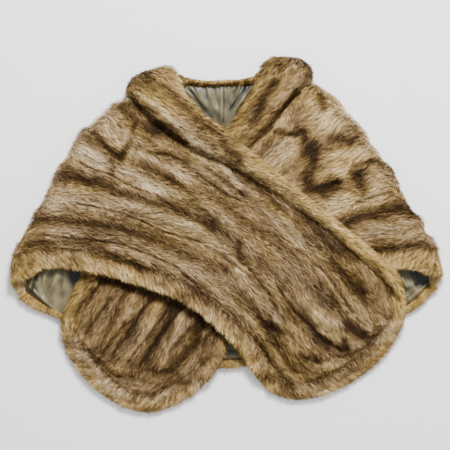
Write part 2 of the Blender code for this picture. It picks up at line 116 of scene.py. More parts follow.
# Step between rings in rows, and the collar's arch: where its sine starts, and its power
RING_STEP = 0.125
ARCH_START = 0.12
ARCH_POWER = 0.6

# How far the collar's height clears the layer over it, and over what distance that ends
COLLAR_CLEAR = 60.0
COLLAR_SLOPE = 30.0

# Random fields and locks of hair: lattice and table sizes, the field's shift, a lock's length and width
# and how its lines waver, and the least twist between a skin's two ways that hair is turned by
LATTICE = 128
LATTICE_SHIFT = (40.37, 21.71)
LOCK_TABLE = 8191
LOCK_PRIMES = (131, 2477)
LOCK_LONG = 7.5
LOCK_WIDE = 2.1
LOCK_WAVER = 1.1
LOCK_WAVER_SIZE = (16.0, 9.0)
LEAST_TWIST = 0.05

# Ends of the tones and hues of hair and of the skins of borders and collars, and the hue's step across a
# blade's map
HAIR_RANGE = (0.02, 0.98)
SKIN_TONES = (0.05, 0.97)
SKIN_HUES = (0.05, 0.98)
HUE_STEP = 0.006

# The right front, from its side fold to its tip. Each row is one line across it:
# hem edge x, y; border seam x, y; collar seam x, y; front edge x, y
RIGHT_ROWS = (
    (-340, -79, -334, -35, -155, 222, -70, 244),
    (-310, -74, -310, -26, -147, 211, -66, 232),
    (-288, -56, -285, -23, -138, 198, -61, 220),
    (-237, -57, -237, -26, -116, 175, -47, 203),
    (-182, -68, -179, -38, -88, 153, -30, 186),
    (-127, -84, -116, -57, -50, 130, -3, 164),
    (-72, -106, -56, -81, 7, 104, 40, 129),
    (-25, -139, -3, -121, 77, 63, 97, 82),
    (14, -178, 38, -162, 139, 19, 156, 37),
    (41, -217, 66, -201, 190, -23, 207, -5),
    (66, -247, 88, -225, 226, -53, 245, -37),
    (103, -261, 113, -236, 244, -72, 265, -57),
    (147, -256, 141, -233, 254, -90, 277, -78),
    (187, -240, 172, -219, 258, -104, 282, -98),
    (223, -217, 202, -198, 259, -115, 283, -112),
    (254, -186, 229, -172, 260, -125, 282, -122),
    (273, -151, 250, -145, 259, -132, 279, -134),
)
# The same lines across the left front
LEFT_ROWS = (
    (340, -67, 332, -24, 135, 242, 49, 247),
    (317, -68, 310, -21, 121, 230, 44, 234),
    (295, -57, 288, -24, 105, 212, 38, 222),
    (238, -59, 232, -27, 86, 189, 25, 201),
    (179, -71, 172, -43, 63, 159, 8, 175),
    (124, -90, 114, -62, 28, 126, -19, 148),
    (72, -115, 60, -87, -11, 95, -49, 121),
    (33, -142, 16, -115, -58, 60, -89, 90),
    (9, -167, -14, -145, -103, 24, -130, 57),
    (-3, -195, -30, -176, -146, -15, -171, 20),
    (-20, -223, -45, -204, -179, -54, -202, -21),
    (-47, -250, -66, -226, -202, -89, -227, -62),
    (-85, -272, -94, -245, -219, -117, -244, -96),
    (-122, -281, -122, -253, -227, -132, -254, -118),
    (-163, -272, -154, -247, -230, -142, -259, -132),
    (-202, -247, -183, -226, -232, -150, -260, -143),
    (-232, -217, -207, -201, -232, -157, -260, -154),
)
# The border's corner past the last line: hem edge x, y; seam x, y
LEFT_CORNER = ((-251, -186, -223, -178),)

# Crests of the side folds from the border seam to the collar seam: x, y
RIGHT_CREST = (
    (-334, -35), (-321, -6), (-296, 42), (-271, 93), (-241, 143), (-213, 177), (-184, 203), (-155, 222),
)
LEFT_CREST = (
    (332, -24), (313, 6), (300, 31), (282, 60), (262, 97), (239, 132), (206, 177), (173, 214), (135, 242),
)
# Where the sheet runs under a fold, in degrees from +x: at hem edge, border seam, halfway and collar
RIGHT_UNDER = (-52.0, -50.0, -30.0, -54.0)
LEFT_UNDER = (-119.0, -122.0, -150.0, -137.0)

# Collar tops beyond the fold line: collar seam x, y; free edge x, y
RIGHT_COLLAR_TOP = ((-138, 253, -97, 266), (-152, 239, -79, 258))
LEFT_COLLAR_TOP = ((114, 279, 79, 281), (132, 261, 57, 267))
# Collar heights, starting at the top end and then one for each line across
RIGHT_COLLAR_HEIGHTS = (9, 22, 29, 32, 33, 32, 29, 25, 21, 18, 17, 16, 16, 16, 16, 16, 15, 15, 14)
LEFT_COLLAR_HEIGHTS = (9, 22, 29, 31, 31, 27, 21, 15, 14, 14, 14, 14, 14, 14, 14, 14, 14, 14, 14)

# The back's hem from left to right: hem edge x, y; border seam x, y
BACK_HEM = (
    (-321, -103, -315, -58),
    (-299, -120, -289, -81),
    (-269, -132, -258, -98),
    (-197, -162, -184, -129),
    (-119, -189, -110, -155),
    (-33, -209, -32, -174),
    (30, -209, 29, -174),
    (116, -186, 107, -152),
    (194, -159, 182, -126),
    (258, -138, 246, -104),
    (299, -118, 283, -85),
    (325, -93, 316, -50),
)
# The back's neck and shoulders from left to right, and the fur roll along the neck
SHOULDER_LEFT = ((-137, 199), (-128, 215), (-108, 236), (-76, 240), (-66, 228.5))
SHOULDER_RIGHT = ((46, 228.5), (60, 243), (98, 249), (112, 240), (117, 228))
NECK_FUR = ((-76, 250), (-64, 240), (-40, 234.5), (-8, 234.5), (22, 236), (42, 240.5), (50, 249))
NECK_ROLL_WIDE = 12.0
NECK_ROLL_HIGH = 16.0

# Height across the back border, from its seam (0) to its edge (1)
BORDER_TOP = ((0.0, 9.0), (0.3, 9.0), (0.6, 9.0), (0.68, 10.7), (0.82, 11.3), (0.94, 9.5), (1.0, 6.5))
BORDER_BASE = ((0.0, 0.0), (0.8, 0.0), (0.93, 0.8), (1.0, 3.5))
# The lining: its end as a share of the border, and first, last and count of its columns and shares across
LINING_END = 0.56
LINING_COLUMNS = ((-318, -222, 50), (-216, -72, 10), (-70, 50, 66), (56, 244, 12), (248, 319, 38))
LINING_SHARES = ((0, 0.3, 36), (0.32, 0.78, 8), (0.79, 1, 44))

# Folds and gathers of the open lining: x, y, direction in degrees, length, width and height
CREASES = (
    (-6, 196, 92, 70, 5, 2.4),
    (-38, 214, 118, 34, 6, 1.6),
    (-22, 208, 108, 40, 5, 1.4),
    (16, 210, 74, 40, 5, 1.5),
    (30, 216, 60, 34, 6, 1.6),
    (-307, -74, 84, 30, 2.4, 3.4),
    (-287, -71, 87, 28, 2.6, 3.4),
    (-294, -90, 118, 40, 3.5, 1.8),
    (-274, -84, 62, 44, 4.0, 2.0),
    (-254, -76, 84, 34, 5.0, 2.4),
    (290, -84, 150, 46, 6, 2.6),
    (276, -98, 146, 46, 6, 2.0),
    (-52, 224, 128, 26, 2.0, 1.3),
    (-46, 226, 118, 24, 1.8, 1.2),
    (-57, 219, 140, 26, 2.0, 1.2),
    (-28, 222, 100, 22, 1.8, 1.0),
    (-14, 224, 94, 18, 1.6, 0.9),
    (4, 224, 88, 18, 1.6, 0.9),
    (18, 224, 66, 28, 1.8, 1.3),
    (27, 222, 52, 32, 2.0, 1.4),
    (34, 214, 44, 30, 1.8, 1.2),
    (22, 204, 58, 34, 2.2, 1.2),
    (-16, 186, 76, 26, 2.0, 1.0),
    (3, 184, 104, 26, 2.0, 1.0),
    (-304, -66, 82, 34, 2.2, 2.0),
    (-293, -64, 80, 34, 2.0, 2.1),
    (-283, -64, 78, 32, 2.0, 1.8),
    (-297, -96, 136, 60, 2.6, 1.6),
    (-264, -70, 66, 34, 6.0, 2.0),
    (278, -72, 108, 30, 2.2, 1.6),
    (291, -72, 118, 30, 2.2, 1.6),
    (300, -92, 40, 44, 2.4, 1.8),
    (284, -104, 34, 40, 2.2, 1.6),
)


def on_plan(pixels: Rows) -> Array:
    """Plan points in millimetres of the photograph's pixels: their way from the origin's pixel, to scale."""
    return (np.asarray(pixels, float) - ORIGIN_PIXEL) * MM_A_PIXEL * (1.0, -1.0)


def through(rows: Rows | Array, at: Array | Sequence[float]) -> Array:
    """Points of the smooth curve through the rows: a cubic in each step, sloped by the rows beside it.

    Args:
        rows: The corners, one a row.
        at: Positions counted in rows.

    Returns:
        One point for each position.
    """
    rows = np.asarray(rows, float)
    at = np.clip(np.asarray(at, float), 0, len(rows) - 1)
    place = np.minimum(at.astype(int), len(rows) - 2)
    share = (at - place)[..., None]
    padded = np.vstack([2 * rows[0] - rows[1], rows, 2 * rows[-1] - rows[-2]])
    before, here, there, after = (padded[place + step] for step in range(4))
    slope = there - before
    bend = 2 * before - 5 * here + 4 * there - after
    twist = 3 * (here - there) + after - before
    return here + 0.5 * share * (slope + share * (bend + share * twist))


def sampled(rows: Rows | Array, count: int) -> Array:
    """A count of points of the smooth curve through the rows, at equal steps of their number."""
    return through(rows, np.linspace(0, len(rows) - 1, count))


def lengths(line: Array) -> Array:
    """Distance gone along a line at each of its points: the added lengths of its pieces."""
    return np.concatenate([[0.0], np.cumsum(np.linalg.norm(np.diff(line, axis=0), axis=1))])


def by_length(rows: Rows, share: Array) -> Array:
    """Plan points of the smooth curve through the rows at shares of its length.

    Args:
        rows: The corners, one a row.
        share: Shares from 0 to 1.

    Returns:
        One plan point for each share.
    """
    dense = sampled(rows, 400)
    gone = lengths(dense)
    return np.stack([np.interp(share, gone / gone[-1], dense[:, axis]) for axis in (0, 1)], -1)


def smooth(share: Array | float) -> Array:
    """Rises from 0 to 1 with level ends: three squares less two cubes."""
    share = np.clip(share, 0, 1)
    return share * share * (3 - 2 * share)


def bell(distance: Array, wide: float) -> Array:
    """A bell over the distance: e to the power of minus its squared share of the half width."""
    return np.exp(-((distance / wide) ** 2))


def rounded(distance: Array, reach: float) -> Array:
    """A quarter round: 0 at the edge and 1 from reach inwards."""
    return np.sqrt(1 - (1 - np.clip(distance / reach, 0, 1)) ** 2)


def to_line(points: Array, line: Array) -> tuple[Array, Array]:
    """Distance to a polyline: the least over its pieces of the distance to the nearest point of the piece.

    Args:
        points: Plan points, in any shape that ends in 2.
        line: Corners of the polyline.

    Returns:
        The distances, and the place of the nearest point counted in corners.
    """
    start, run = line[:-1], np.diff(line, axis=0)
    away = points[..., None, :] - start
    share = np.clip((away * run).sum(-1) / np.maximum((run * run).sum(-1), 1e-9), 0, 1)
    distance = np.linalg.norm(away - share[..., None] * run, axis=-1)
    nearest = distance.argmin(-1)[..., None]
    place = nearest[..., 0] + np.take_along_axis(share, nearest, -1)[..., 0]
    return np.take_along_axis(distance, nearest, -1)[..., 0], place


def inside_by(points: Array, outline: Array) -> Array:
    """Distance of each plan point to a closed outline, positive inside by the count of crossed sides.

    Args:
        points: Plan points, in any shape that ends in 2.
        outline: Corners of the outline.

    Returns:
        The signed distances.
    """
    closed = np.vstack([outline, outline[:1]])
    distance, _ = to_line(points, closed)
    x, y = points[..., 0, None], points[..., 1, None]
    x0, y0, x1, y1 = closed[:-1, 0], closed[:-1, 1], closed[1:, 0], closed[1:, 1]
    reach = x0 + (y - y0) * (x1 - x0) / np.where(y1 == y0, 1e-9, y1 - y0)
    within = (((y0 > y) != (y1 > y)) & (x < reach)).sum(-1) % 2 == 1
    return np.where(within, distance, -distance)


def between(columns: Array, low: Array, high: Array, share: Array, more: Array | float = 0.0) -> Array:
    """Plan points on columns between two lines, at equal shares of the way on each.

    Args:
        columns: The columns' x.
        low: Points of the lower line.
        high: Points of the upper line.
        share: Shares of the way from the lower line to the upper one.
        more: What is added to the upper line's y on each column.

    Returns:
        Points shaped (columns, shares, 2).
    """
    start = np.interp(columns, low[:, 0], low[:, 1])[:, None]
    end = (np.interp(columns, high[:, 0], high[:, 1]) + more)[:, None]
    y = start + (end - start) * share
    return np.stack([np.broadcast_to(columns[:, None], y.shape), y], -1)


def at_height(plan: Array, height: Array | float) -> Array:
    """Plan points with a height for each, or one height for each place across."""
    return np.concatenate([plan, np.broadcast_to(height, plan.shape[:2])[..., None]], -1)


def fold_radius(y: Array) -> Array:
    """Radius of the side fold at a height on the plan."""
    return np.interp(y, (FOLD_HEM_Y, FOLD_NECK_Y), (FOLD_RADIUS_HEM, FOLD_RADIUS_NECK))


def plan_angle(degrees: Array | float) -> Array:
    """Unit plan vectors at angles counted from +x."""
    return np.stack([np.cos(np.radians(degrees)), np.sin(np.radians(degrees))], -1)


def unit(vectors: Array) -> Array:
    """The vectors at length one."""
    return vectors / np.maximum(np.linalg.norm(vectors, axis=-1, keepdims=True), 1e-9)


def pelt_row(share: Array) -> Array:
    """The pelt row at shares of the panel's width, counted with its part."""
    return np.interp(share, PELT_SEAMS, np.arange(len(PELT_SEAMS)))


def pelt_drop(share: Array) -> Array:
    """How far the fur sinks between the pelt rows of a panel, by the arch of each row."""
    return PELT_VALLEY * (1 - np.abs(np.sin(np.pi * pelt_row(share))) ** PELT_ARCH)


def drift(seed: int, first: Array, second: Array, first_size: float, second_size: float) -> Array:
    """A smooth random field: seeded values on a square lattice, blended with smooth steps.

    Args:
        seed: Seed of the lattice.
        first: First coordinate.
        second: Second coordinate.
        first_size: Length of a lattice step along the first, in its own unit.
        second_size: The same along the second.

    Returns:
        Values from -1 to 1.
    """
    values = np.random.default_rng(seed).uniform(-1, 1, (LATTICE, LATTICE))
    a, b = first / first_size + LATTICE_SHIFT[0], second / second_size + LATTICE_SHIFT[1]
    row, column = np.floor(a).astype(int), np.floor(b).astype(int)
    along, across = smooth(a - row), smooth(b - column)
    low, high = column % LATTICE, (column + 1) % LATTICE
    near, far = (
        values[line % LATTICE, low] * (1 - across) + values[line % LATTICE, high] * across
        for line in (row, row + 1)
    )
    return near * (1 - along) + far * along


@dataclass(frozen=True)
class Furrow:
    """One parting, shadow, dark band or pale ridge of the fur, or one hollow or fold of the satin.

    Attributes:
        wide: Half its width in millimetres.
        deep: How far the fur sinks on its line, in millimetres, or rises where negative.
        tone: What it adds to the tone on its line; where negative that is painted shade, on the satin's folds
            a painted highlight.
        path: Plan points of its corners.
    """

    wide: float
    deep: float
    tone: float
    path: Array

    def weight(self, plan: Array) -> Array:
        """How strongly it acts at plan points: a bell over the distance to its path."""
        return bell(to_line(plan, self.path)[0], self.wide)


def furrows(*rows: Sequence[float]) -> tuple[Furrow, ...]:
    """Furrows of rows of numbers: half width, depth, tone, and then pixel x and y of each corner."""
    return tuple(Furrow(*row[:3], on_plan(np.reshape(row[3:], (-1, 2)))) for row in rows)


RIGHT_FURROWS = furrows(
    # Dark partings, with painted shade in them
    (1.8, 3, -0.42, 28, 233, 75, 238, 100, 241, 125, 245, 150, 255, 175, 265, 200, 288),
    (1.8, 3, -0.42, 78, 203, 100, 208, 120, 212, 140, 220, 160, 230, 200, 241),
    (1.8, 3, -0.42, 76, 160, 90, 168, 110, 174, 125, 183, 150, 193),
    (4.5, 4, -0.42, 95, 133, 108, 148, 118, 157, 124, 151),
    (5, 4.5, -0.48, 120, 158, 128, 146, 132, 134, 134, 126),
    (2.5, 2, -0.3, 111, 122, 117, 134, 122, 146),
    (2.5, 2, -0.35, 148, 151, 172, 156, 186, 163),
    (2.8, 3, -0.4, 184, 165, 205, 180, 222, 192, 238, 200),
    (4.5, 3, -0.4, 208, 168, 225, 180, 238, 192, 243, 197),
    (3.6, 4, -0.5, 239, 240, 239, 252, 243, 264),
    (2.2, 3, -0.45, 277, 284, 285, 298, 296, 312, 312, 328, 326, 341, 341, 350),
    (3, 3, -0.35, 248, 268, 266, 290, 285, 322),
    (3, 3, -0.35, 298, 250, 325, 272, 345, 300, 352, 312),
    (6, 3, -0.22, 318, 280, 328, 290, 338, 303),
    (2.6, 3, -0.28, 205, 247, 225, 258, 245, 272, 262, 290),
    (3, 3, -0.25, 372, 262, 388, 285, 398, 300),
    (7.2, 3, -0.25, 258, 318, 268, 333, 275, 345),
    (6, 3, -0.22, 318, 338, 345, 352),
    (8, 4, -0.5, 348, 326, 362, 334),
    (5.5, 3, -0.34, 342, 338, 346, 350),
    (7.5, 4, -0.42, 300, 356, 318, 362),
    (7, 4, -0.34, 268, 324, 286, 334),
    (6, 3, -0.22, 262, 345, 270, 362, 280, 372),
    (4, 3, -0.25, 345, 340, 352, 360),
    (3, 4, -0.42, 112, 159, 113, 168, 112, 176),
    (2.2, 3, -0.35, 119, 124, 122, 139),
    # Dark bands and shadows, painted into the tone as shade where the fur also sinks
    (7.2, 3.5, -0.22, 22, 246, 50, 241, 80, 242, 105, 251, 122, 262, 142, 270),
    (9, 3.5, -0.22, 28, 222, 60, 221, 100, 225, 125, 229, 160, 238, 200, 256, 228, 270),
    (9, 3.5, -0.22, 50, 180, 80, 180, 105, 184, 130, 196, 160, 206, 185, 211, 212, 226),
    (6, 3.5, -0.2, 168, 176, 190, 184, 215, 193, 240, 206),
    (6, 3.5, -0.18, 185, 200, 205, 214, 225, 231, 245, 248),
    (7, 3.5, -0.28, 90, 142, 105, 153, 116, 164),
    (7, 3, -0.32, 128, 99, 145, 112, 155, 123, 170, 131, 185, 143),
    (8.4, 3.5, -0.22, 146, 130, 165, 134, 180, 142),
    (6, 3.5, -0.22, 200, 150, 222, 163, 245, 178, 268, 196, 285, 212),
    (8.5, 3.5, -0.46, 300, 213, 318, 232, 335, 247, 352, 258),
    (9, 3.5, -0.2, 330, 262, 345, 275, 360, 292),
    (7.5, 3.5, -0.34, 143, 72, 168, 92, 190, 113, 214, 133, 240, 160),
    (9, 1, -0.08, 138, 66, 148, 76),
    (8, 3.5, -0.2, 112, 108, 126, 102),
    (8.5, 4, -0.26, 122, 108, 134, 120, 142, 129, 156, 132),
    (4.5, 3.5, -0.24, 140, 163, 158, 173, 178, 186, 196, 200),
    # Pale ridges
    (6, -2.5, 0.36, 132, 87, 150, 102, 172, 120, 190, 138, 215, 158, 240, 187),
    (5, -2.5, 0.24, 166, 64, 186, 94, 206, 112, 232, 133, 262, 160),
    (5, -2.5, 0.2, 104, 121, 112, 131, 120, 143),
    (4.5, -2.5, 0.22, 132, 152, 150, 158, 170, 170, 190, 184),
    (7, -2.5, 0.16, 116, 168, 130, 174, 144, 186),
    (7, -2.5, 0.2, 105, 197, 125, 201, 150, 209, 175, 220, 200, 226),
    (9, -2.5, 0.22, 75, 150, 90, 152, 100, 162),
    (7, -2.5, 0.2, 108, 118, 116, 130, 122, 140),
    (6, -2.5, 0.18, 125, 187, 145, 189, 165, 192),
    (6, -2.5, 0.2, 108, 247, 130, 250, 150, 263),
    (4.5, -2.5, 0.24, 195, 155, 215, 172, 238, 190),
    (8, -2.5, 0.2, 316, 314, 334, 324),
    (6.5, -2.5, 0.24, 322, 332, 342, 342),
    (8, -2.5, 0.24, 368, 312, 382, 325),
    (5, -2.5, 0.2, 325, 287, 350, 311, 364, 329),
    (7, -2.5, 0.14, 325, 366, 345, 360, 362, 350),
    (7, -2.5, 0.12, 225, 250, 240, 268),
    (7, -2.5, 0.12, 295, 270, 315, 285),
)
LEFT_FURROWS = furrows(
    # Dark partings, with painted shade in them
    (4.5, 4, -0.5, 276, 131, 290, 134, 304, 132),
    (6, 3, -0.5, 321, 96, 324, 109),
    (3, 3, -0.3, 352, 166, 372, 161, 396, 158),
    (9, 4.5, -0.42, 357, 174, 363, 192),
    (3, 3, -0.34, 185, 306, 175, 316, 165, 330, 150, 350, 130, 379),
    (3, 3, -0.34, 125, 322, 118, 332, 105, 350, 98, 362),
    (2.4, 3, -0.3, 150, 300, 138, 318, 126, 336, 112, 354),
    (2.6, 3, -0.3, 112, 297, 98, 316, 85, 334),
    (2.6, 3, -0.28, 95, 290, 82, 303, 74, 316),
    (2.4, 3, -0.28, 170, 305, 158, 322, 146, 338),
    (2.4, 3, -0.28, 140, 345, 128, 362, 118, 378),
    (7.8, 3, -0.29, 205, 338, 192, 349, 176, 362, 160, 378),
    (9.6, 3, -0.3, 155, 372, 149, 386),
    (3, 3, -0.3, 198, 322, 184, 335, 170, 352),
    (2.2, 3, -0.34, 358, 202, 374, 196, 392, 192),
    # Dark bands and shadows, painted into the tone as shade where the fur also sinks
    (12.5, 5.5, -0.54, 301, 132, 308, 141, 313, 153, 313, 165, 306, 178),
    (10.5, 5, -0.46, 310, 184, 322, 191, 334, 184),
    (9, 4.5, -0.38, 346, 224, 362, 215, 380, 210, 404, 207, 416, 210),
    (6, 3.5, -0.23, 370, 252, 400, 247, 425, 243, 443, 243),
    (5, 3, -0.38, 297, 92, 285, 105, 274, 118, 262, 131),
    (8, 3.5, -0.2, 332, 139, 352, 142),
    (8, 1.5, -0.35, 86, 279, 125, 284, 160, 298, 190, 311, 216, 332, 232, 350),
    (8.5, 3.5, -0.42, 291, 58, 277, 79, 264, 98, 250, 121),
    (6, 2.5, -0.12, 330, 150, 345, 147, 356, 140),
    (7, 2.5, -0.16, 285, 205, 300, 196, 312, 188),
    # Pale ridges
    (5.5, -2.5, 0.25, 306, 66, 286, 97, 263, 129),
    (4.5, -2.5, 0.15, 269, 70, 257, 88, 243, 108),
    (13, -4.5, 0.16, 318, 118, 333, 130, 348, 128),
    (9, -4, 0.22, 334, 168, 346, 176),
    (9, -4, 0.2, 332, 205, 345, 199),
    (10, -3.5, 0.08, 372, 193, 395, 184),
    (10, -4, 0.14, 372, 226, 398, 225, 418, 222),
    (11, -4.5, 0.12, 281, 147, 292, 160),
    (10, -2.5, 0.12, 85, 345, 100, 372, 120, 392),
)
# Painted shade in the hollows and painted highlights on the folds of the lining where it lies open
SATIN_FURROWS = furrows(
    (12, 0, -1, 71, 268, 78, 282),
    (2.2, 0, 0.5, 42, 272, 42, 284),
    (1.6, 0, 0.5, 34, 271, 31, 281),
    (3, 0, -0.4, 30, 269, 50, 267, 75, 269),
    (2.6, 0, -0.8, 37, 271, 33, 284, 31, 291),
    (2, 0, -0.6, 29, 291, 38, 299, 52, 310, 64, 318),
    (6, 0, -0.22, 50, 272, 52, 284, 47, 296),
    (16, 0, 0.12, 40, 290, 58, 300),
    (11, 0, -0.8, 413, 270, 427, 282),
    (3.5, 0, -0.5, 406, 290, 420, 283),
    (4.5, 0, -0.4, 405, 299, 414, 294),
    (1.4, 0, 0.6, 404, 305, 427, 286),
    (1.2, 0, -0.6, 404, 309, 430, 289),
    (34, 0, -0.13, 200, 92, 222, 100, 245, 92),
    (1.6, 0, -0.6, 223, 86, 224, 100, 223, 122),
    (1.6, 0, -0.5, 229, 110, 236, 99, 245, 88),
    (1.4, 0, -0.4, 232, 92, 238, 88),
    (1.3, 0, -0.3, 194, 87, 250, 87),
    (1.6, 0, -0.6, 191, 90, 200, 103, 212, 117),
    (1.3, 0, 0.35, 197, 91, 205, 102, 215, 114),
    (1.3, 0, -0.45, 201, 88, 206, 98),
    (3.5, 0, -0.5, 253, 80, 243, 92, 234, 106),
    (1.6, 0, -0.45, 247, 82, 236, 97),
    (3.5, 0, -0.5, 256, 88, 246, 100, 238, 111),
    (3, 0, -0.4, 188, 84, 196, 98, 206, 109),
    (1.4, 0, -0.3, 196, 86, 201, 96),
    (1.2, 0, -0.25, 208, 86, 207, 96),
    (6, 0, -0.35, 215, 112, 224, 122),
    (3, 0, -0.5, 203, 366, 247, 366),
    (5, 0, -0.5, 203, 352, 247, 352),
)
# Tone across the pelts, from the border seam (0) to the collar seam (1)
PELT_TONES = (
    (0.0, -0.04), (0.045, -0.16), (0.10, 0.10), (0.15, 0.02), (0.21, -0.17), (0.27, 0.0), (0.33, 0.14),
    (0.40, 0.08), (0.47, -0.17), (0.54, 0.04), (0.60, 0.13), (0.66, 0.04), (0.71, -0.15), (0.77, 0.06),
    (0.84, 0.12), (0.92, -0.1), (1.0, 0.04),
)


class Back:
    """Plan outline of the back, which holds up what lies on it."""

    def __init__(self, left_fold: Array, right_fold: Array) -> None:
        """Joins hem, sides, shoulders and neck into one outline.

        Args:
            left_fold: The line where the sheet under the left side fold ends, as seen from above.
            right_fold: The same at the right.
        """
        self.top = np.vstack([left_fold, SHOULDER_LEFT[1:], SHOULDER_RIGHT[:-1], right_fold[::-1]])
        self.outline = np.vstack([sampled(BACK_HEM, 34)[:, :2], right_fold, self.top[::-1]])

    def level(self, points: Array) -> Array:
        """Height of the surface that the back offers: level on it, down to the floor beyond it."""
        return REST_LEVEL * smooth((inside_by(points, self.outline) + LEVEL_PAST_EDGE) / DROP_BEYOND_BACK + 1)


@dataclass
class Layer:
    """A fur layer as a grid of rings: its outer face, the way out of it and its depth.

    Attributes:
        outer: Points of the outer face in millimetres, shaped (rings, samples, 3).
        normal: Unit vectors out of it.
        thick: Its depth.
        edge: Distance of each point to the free edge, in millimetres.
        place: The ring's place in rows, negative under the fold.
        share: Each sample's share of the width.
        along: Distance along the lie of its hair, in millimetres.
        across: Distance across it.
    """

    outer: Array
    normal: Array
    thick: Array
    edge: Array
    place: Array
    share: Array
    along: Array | None = None
    across: Array | None = None

    def under(self, depth: Array | float) -> Array:
        """Points at a depth below the outer face."""
        return self.outer - self.normal * (np.zeros_like(self.thick) + depth)[..., None]

    def past(self, start: float, reach: float) -> Array:
        """0 on the rings before a place and 1 from a reach beyond it, shaped (rings, 1)."""
        return smooth((self.place - start) / reach)[:, None]


@dataclass
class Front:
    """One front in plan: its lines across, its side fold and the height of its layer.

    Attributes:
        rows: Its lines across, from the side fold to its tip.
        crest: Plan points of the side fold's crest.
        under: Directions of the sheet under the fold: at hem edge, border seam, halfway and collar.
        collar_top: Lines across the collar beyond the fold.
        heights: Heights of the collar, from its top end.
        corner: Lines across the border past the last row.
        back: The back that it lies on.
        support: The front that it lies on, if any.
    """

    rows: Rows
    crest: Rows
    under: Sequence[float]
    collar_top: Rows
    heights: Sequence[float]
    corner: Rows = ()
    back: Back | None = None
    support: Front | None = None

    def __post_init__(self) -> None:
        """Joins the rails of border and collar."""
        self.rows = np.asarray(self.rows, float)
        self.collar = np.vstack([self.collar_top, self.rows[:, 4:8]])
        self.border = np.vstack([self.rows[:, 0:4], *self.corner, self.rows[-1, [6, 7, 4, 5]]])

    def across(self, place: Array, share: Array) -> Array:
        """Plan points of the panel: straight from seam to seam, bent along the crest near the fold.

        Args:
            place: Places in rows.
            share: Share from the border seam (0) to the collar seam (1).

        Returns:
            Plan points in the common shape of both.
        """
        seam, neck = through(self.border, place)[..., 2:4], through(self.collar, place + 2)[..., 0:2]
        chord = self.rows[0, 2:4] + (self.rows[0, 4:6] - self.rows[0, 2:4]) * share[..., None]
        bulge = (by_length(self.crest, share) - chord) * bell(place, CREST_ROWS)[..., None]
        return seam + (neck - seam) * share[..., None] + bulge

    def border_across(self, place: Array, share: Array) -> Array:
        """Plan points of the hem border between its free edge (0) and its seam (1)."""
        rail = through(self.border, place)
        return rail[..., 0:2] + (rail[..., 2:4] - rail[..., 0:2]) * share[..., None]

    def under_way(self, share: Array, border: bool = False) -> Array:
        """Direction in plan of the sheet under the fold: from end to end, with a parabola through the middle.

        Args:
            share: Shares of the width.
            border: Whether it is the border, which turns evenly.

        Returns:
            Unit plan vectors.
        """
        edge, seam, middle, neck = self.under
        if border:
            return plan_angle(edge + (seam - edge) * share)
        bend = (middle - 0.5 * (seam + neck)) * 4 * share * (1 - share)
        return plan_angle(seam + (neck - seam) * share + bend)

    def under_line(self, inset: float | Sequence[float]) -> Array:
        """Plan line inside the crest by the inset, or by insets from the hem up, as 25 points.

        Args:
            inset: Millimetres, one number or several at equal steps.

        Returns:
            The line from the hem's border seam up to the collar seam.
        """
        share = np.linspace(0, 1, 25)
        inset = np.interp(share, np.linspace(0, 1, np.size(inset)), np.ravel(inset))
        return by_length(self.crest, share) + inset[:, None] * self.under_way(share)

    def outline(self) -> Array:
        """Plan outline of the part on top: hem border, then the collar's free edge back to the fold.

        Returns:
            Its corners.
        """
        hem = sampled(self.border, 60)[:, 0:2]
        edge = sampled(self.rows, 50)[::-1, 6:8]
        return np.vstack([hem, edge, by_length(self.crest, np.linspace(1, 0, 16))])

    def envelope(self, points: Array) -> Array:
        """Height over which another layer clears this front, going down to the back beyond its edges.

        Args:
            points: Plan points.

        Returns:
            The heights.
        """
        base = self.back.level(points)
        distance, _ = to_line(points, by_length(self.crest, np.linspace(0, 1, 24)))
        radius = fold_radius(points[..., 1])
        blend = smooth((distance - radius) / FOLD_REACH)
        top = 2 * radius * (1 - blend) + (base + FRONT_THICK) * blend
        middle = sampled(self.collar, 60)
        off, place = to_line(points, 0.5 * (middle[:, 0:2] + middle[:, 2:4]))
        last = len(self.collar) - 1
        high = np.interp(place / (len(middle) - 1) * last, np.arange(last + 1), self.heights)
        extra = (high - FRONT_THICK).clip(0) * smooth((COLLAR_CLEAR - off) / COLLAR_SLOPE)
        share = smooth((inside_by(points, self.outline()) + LEVEL_PAST_EDGE) / DROP_BEYOND_FRONT + 1)
        return base + (np.maximum(top, base + FRONT_THICK + extra) - base) * share

    def resting_on(self, points: Array) -> Array:
        """Height of this front's underside where it lies: the higher of the back and the front under it.

        Args:
            points: Plan points.

        Returns:
            The heights.
        """
        level = self.back.level(points)
        if self.support is None:
            return level
        return np.maximum(level, self.support.envelope(points) + LAYER_GAP)

    def turned(self, way_under: Array, way_up: Array, angle: Array) -> Array:
        """Direction across the fold, which turns from the lower sheet's to the upper one's."""
        share = smooth((np.asarray(angle) - FOLD_TURN_FROM) / FOLD_TURN_OVER)[..., None]
        return unit(way_under * (1 - share) + way_up * share)

    def fold_rings(self, crest: Array, way_up: Array, way_under: Array) -> tuple[Array, Array, Array]:
        """The rings under the fold, flat and then round a quarter turn, from the inner end out.

        Args:
            crest: Plan points of the fold's crest.
            way_up: Directions of the upper sheet.
            way_under: Directions of the lower sheet.

        Returns:
            Outer points, normals and depths.
        """
        radius = fold_radius(crest[:, 1])
        flat = np.linspace(0, 1, 5)[:-1, None]
        angle = np.concatenate([np.zeros(4), np.linspace(0, FOLD_LAST_ANGLE, 9)])[:, None]
        sine, cosine = np.sin(np.radians(angle)), np.cos(np.radians(angle))
        inner = FOLD_UNDER + FOLD_OVERLAP
        reach = np.concatenate([inner + (radius - inner) * flat, radius * (1 - sine[4:])])
        outer = at_height(crest + way_under * reach[..., None], radius * (1 - cosine))
        way = self.turned(way_under, way_up, angle)
        thick = np.broadcast_to(BACK_THICK + (FRONT_THICK - BACK_THICK) * angle / 180, reach.shape)
        return outer, at_height(-way * sine[..., None], -cosine), thick

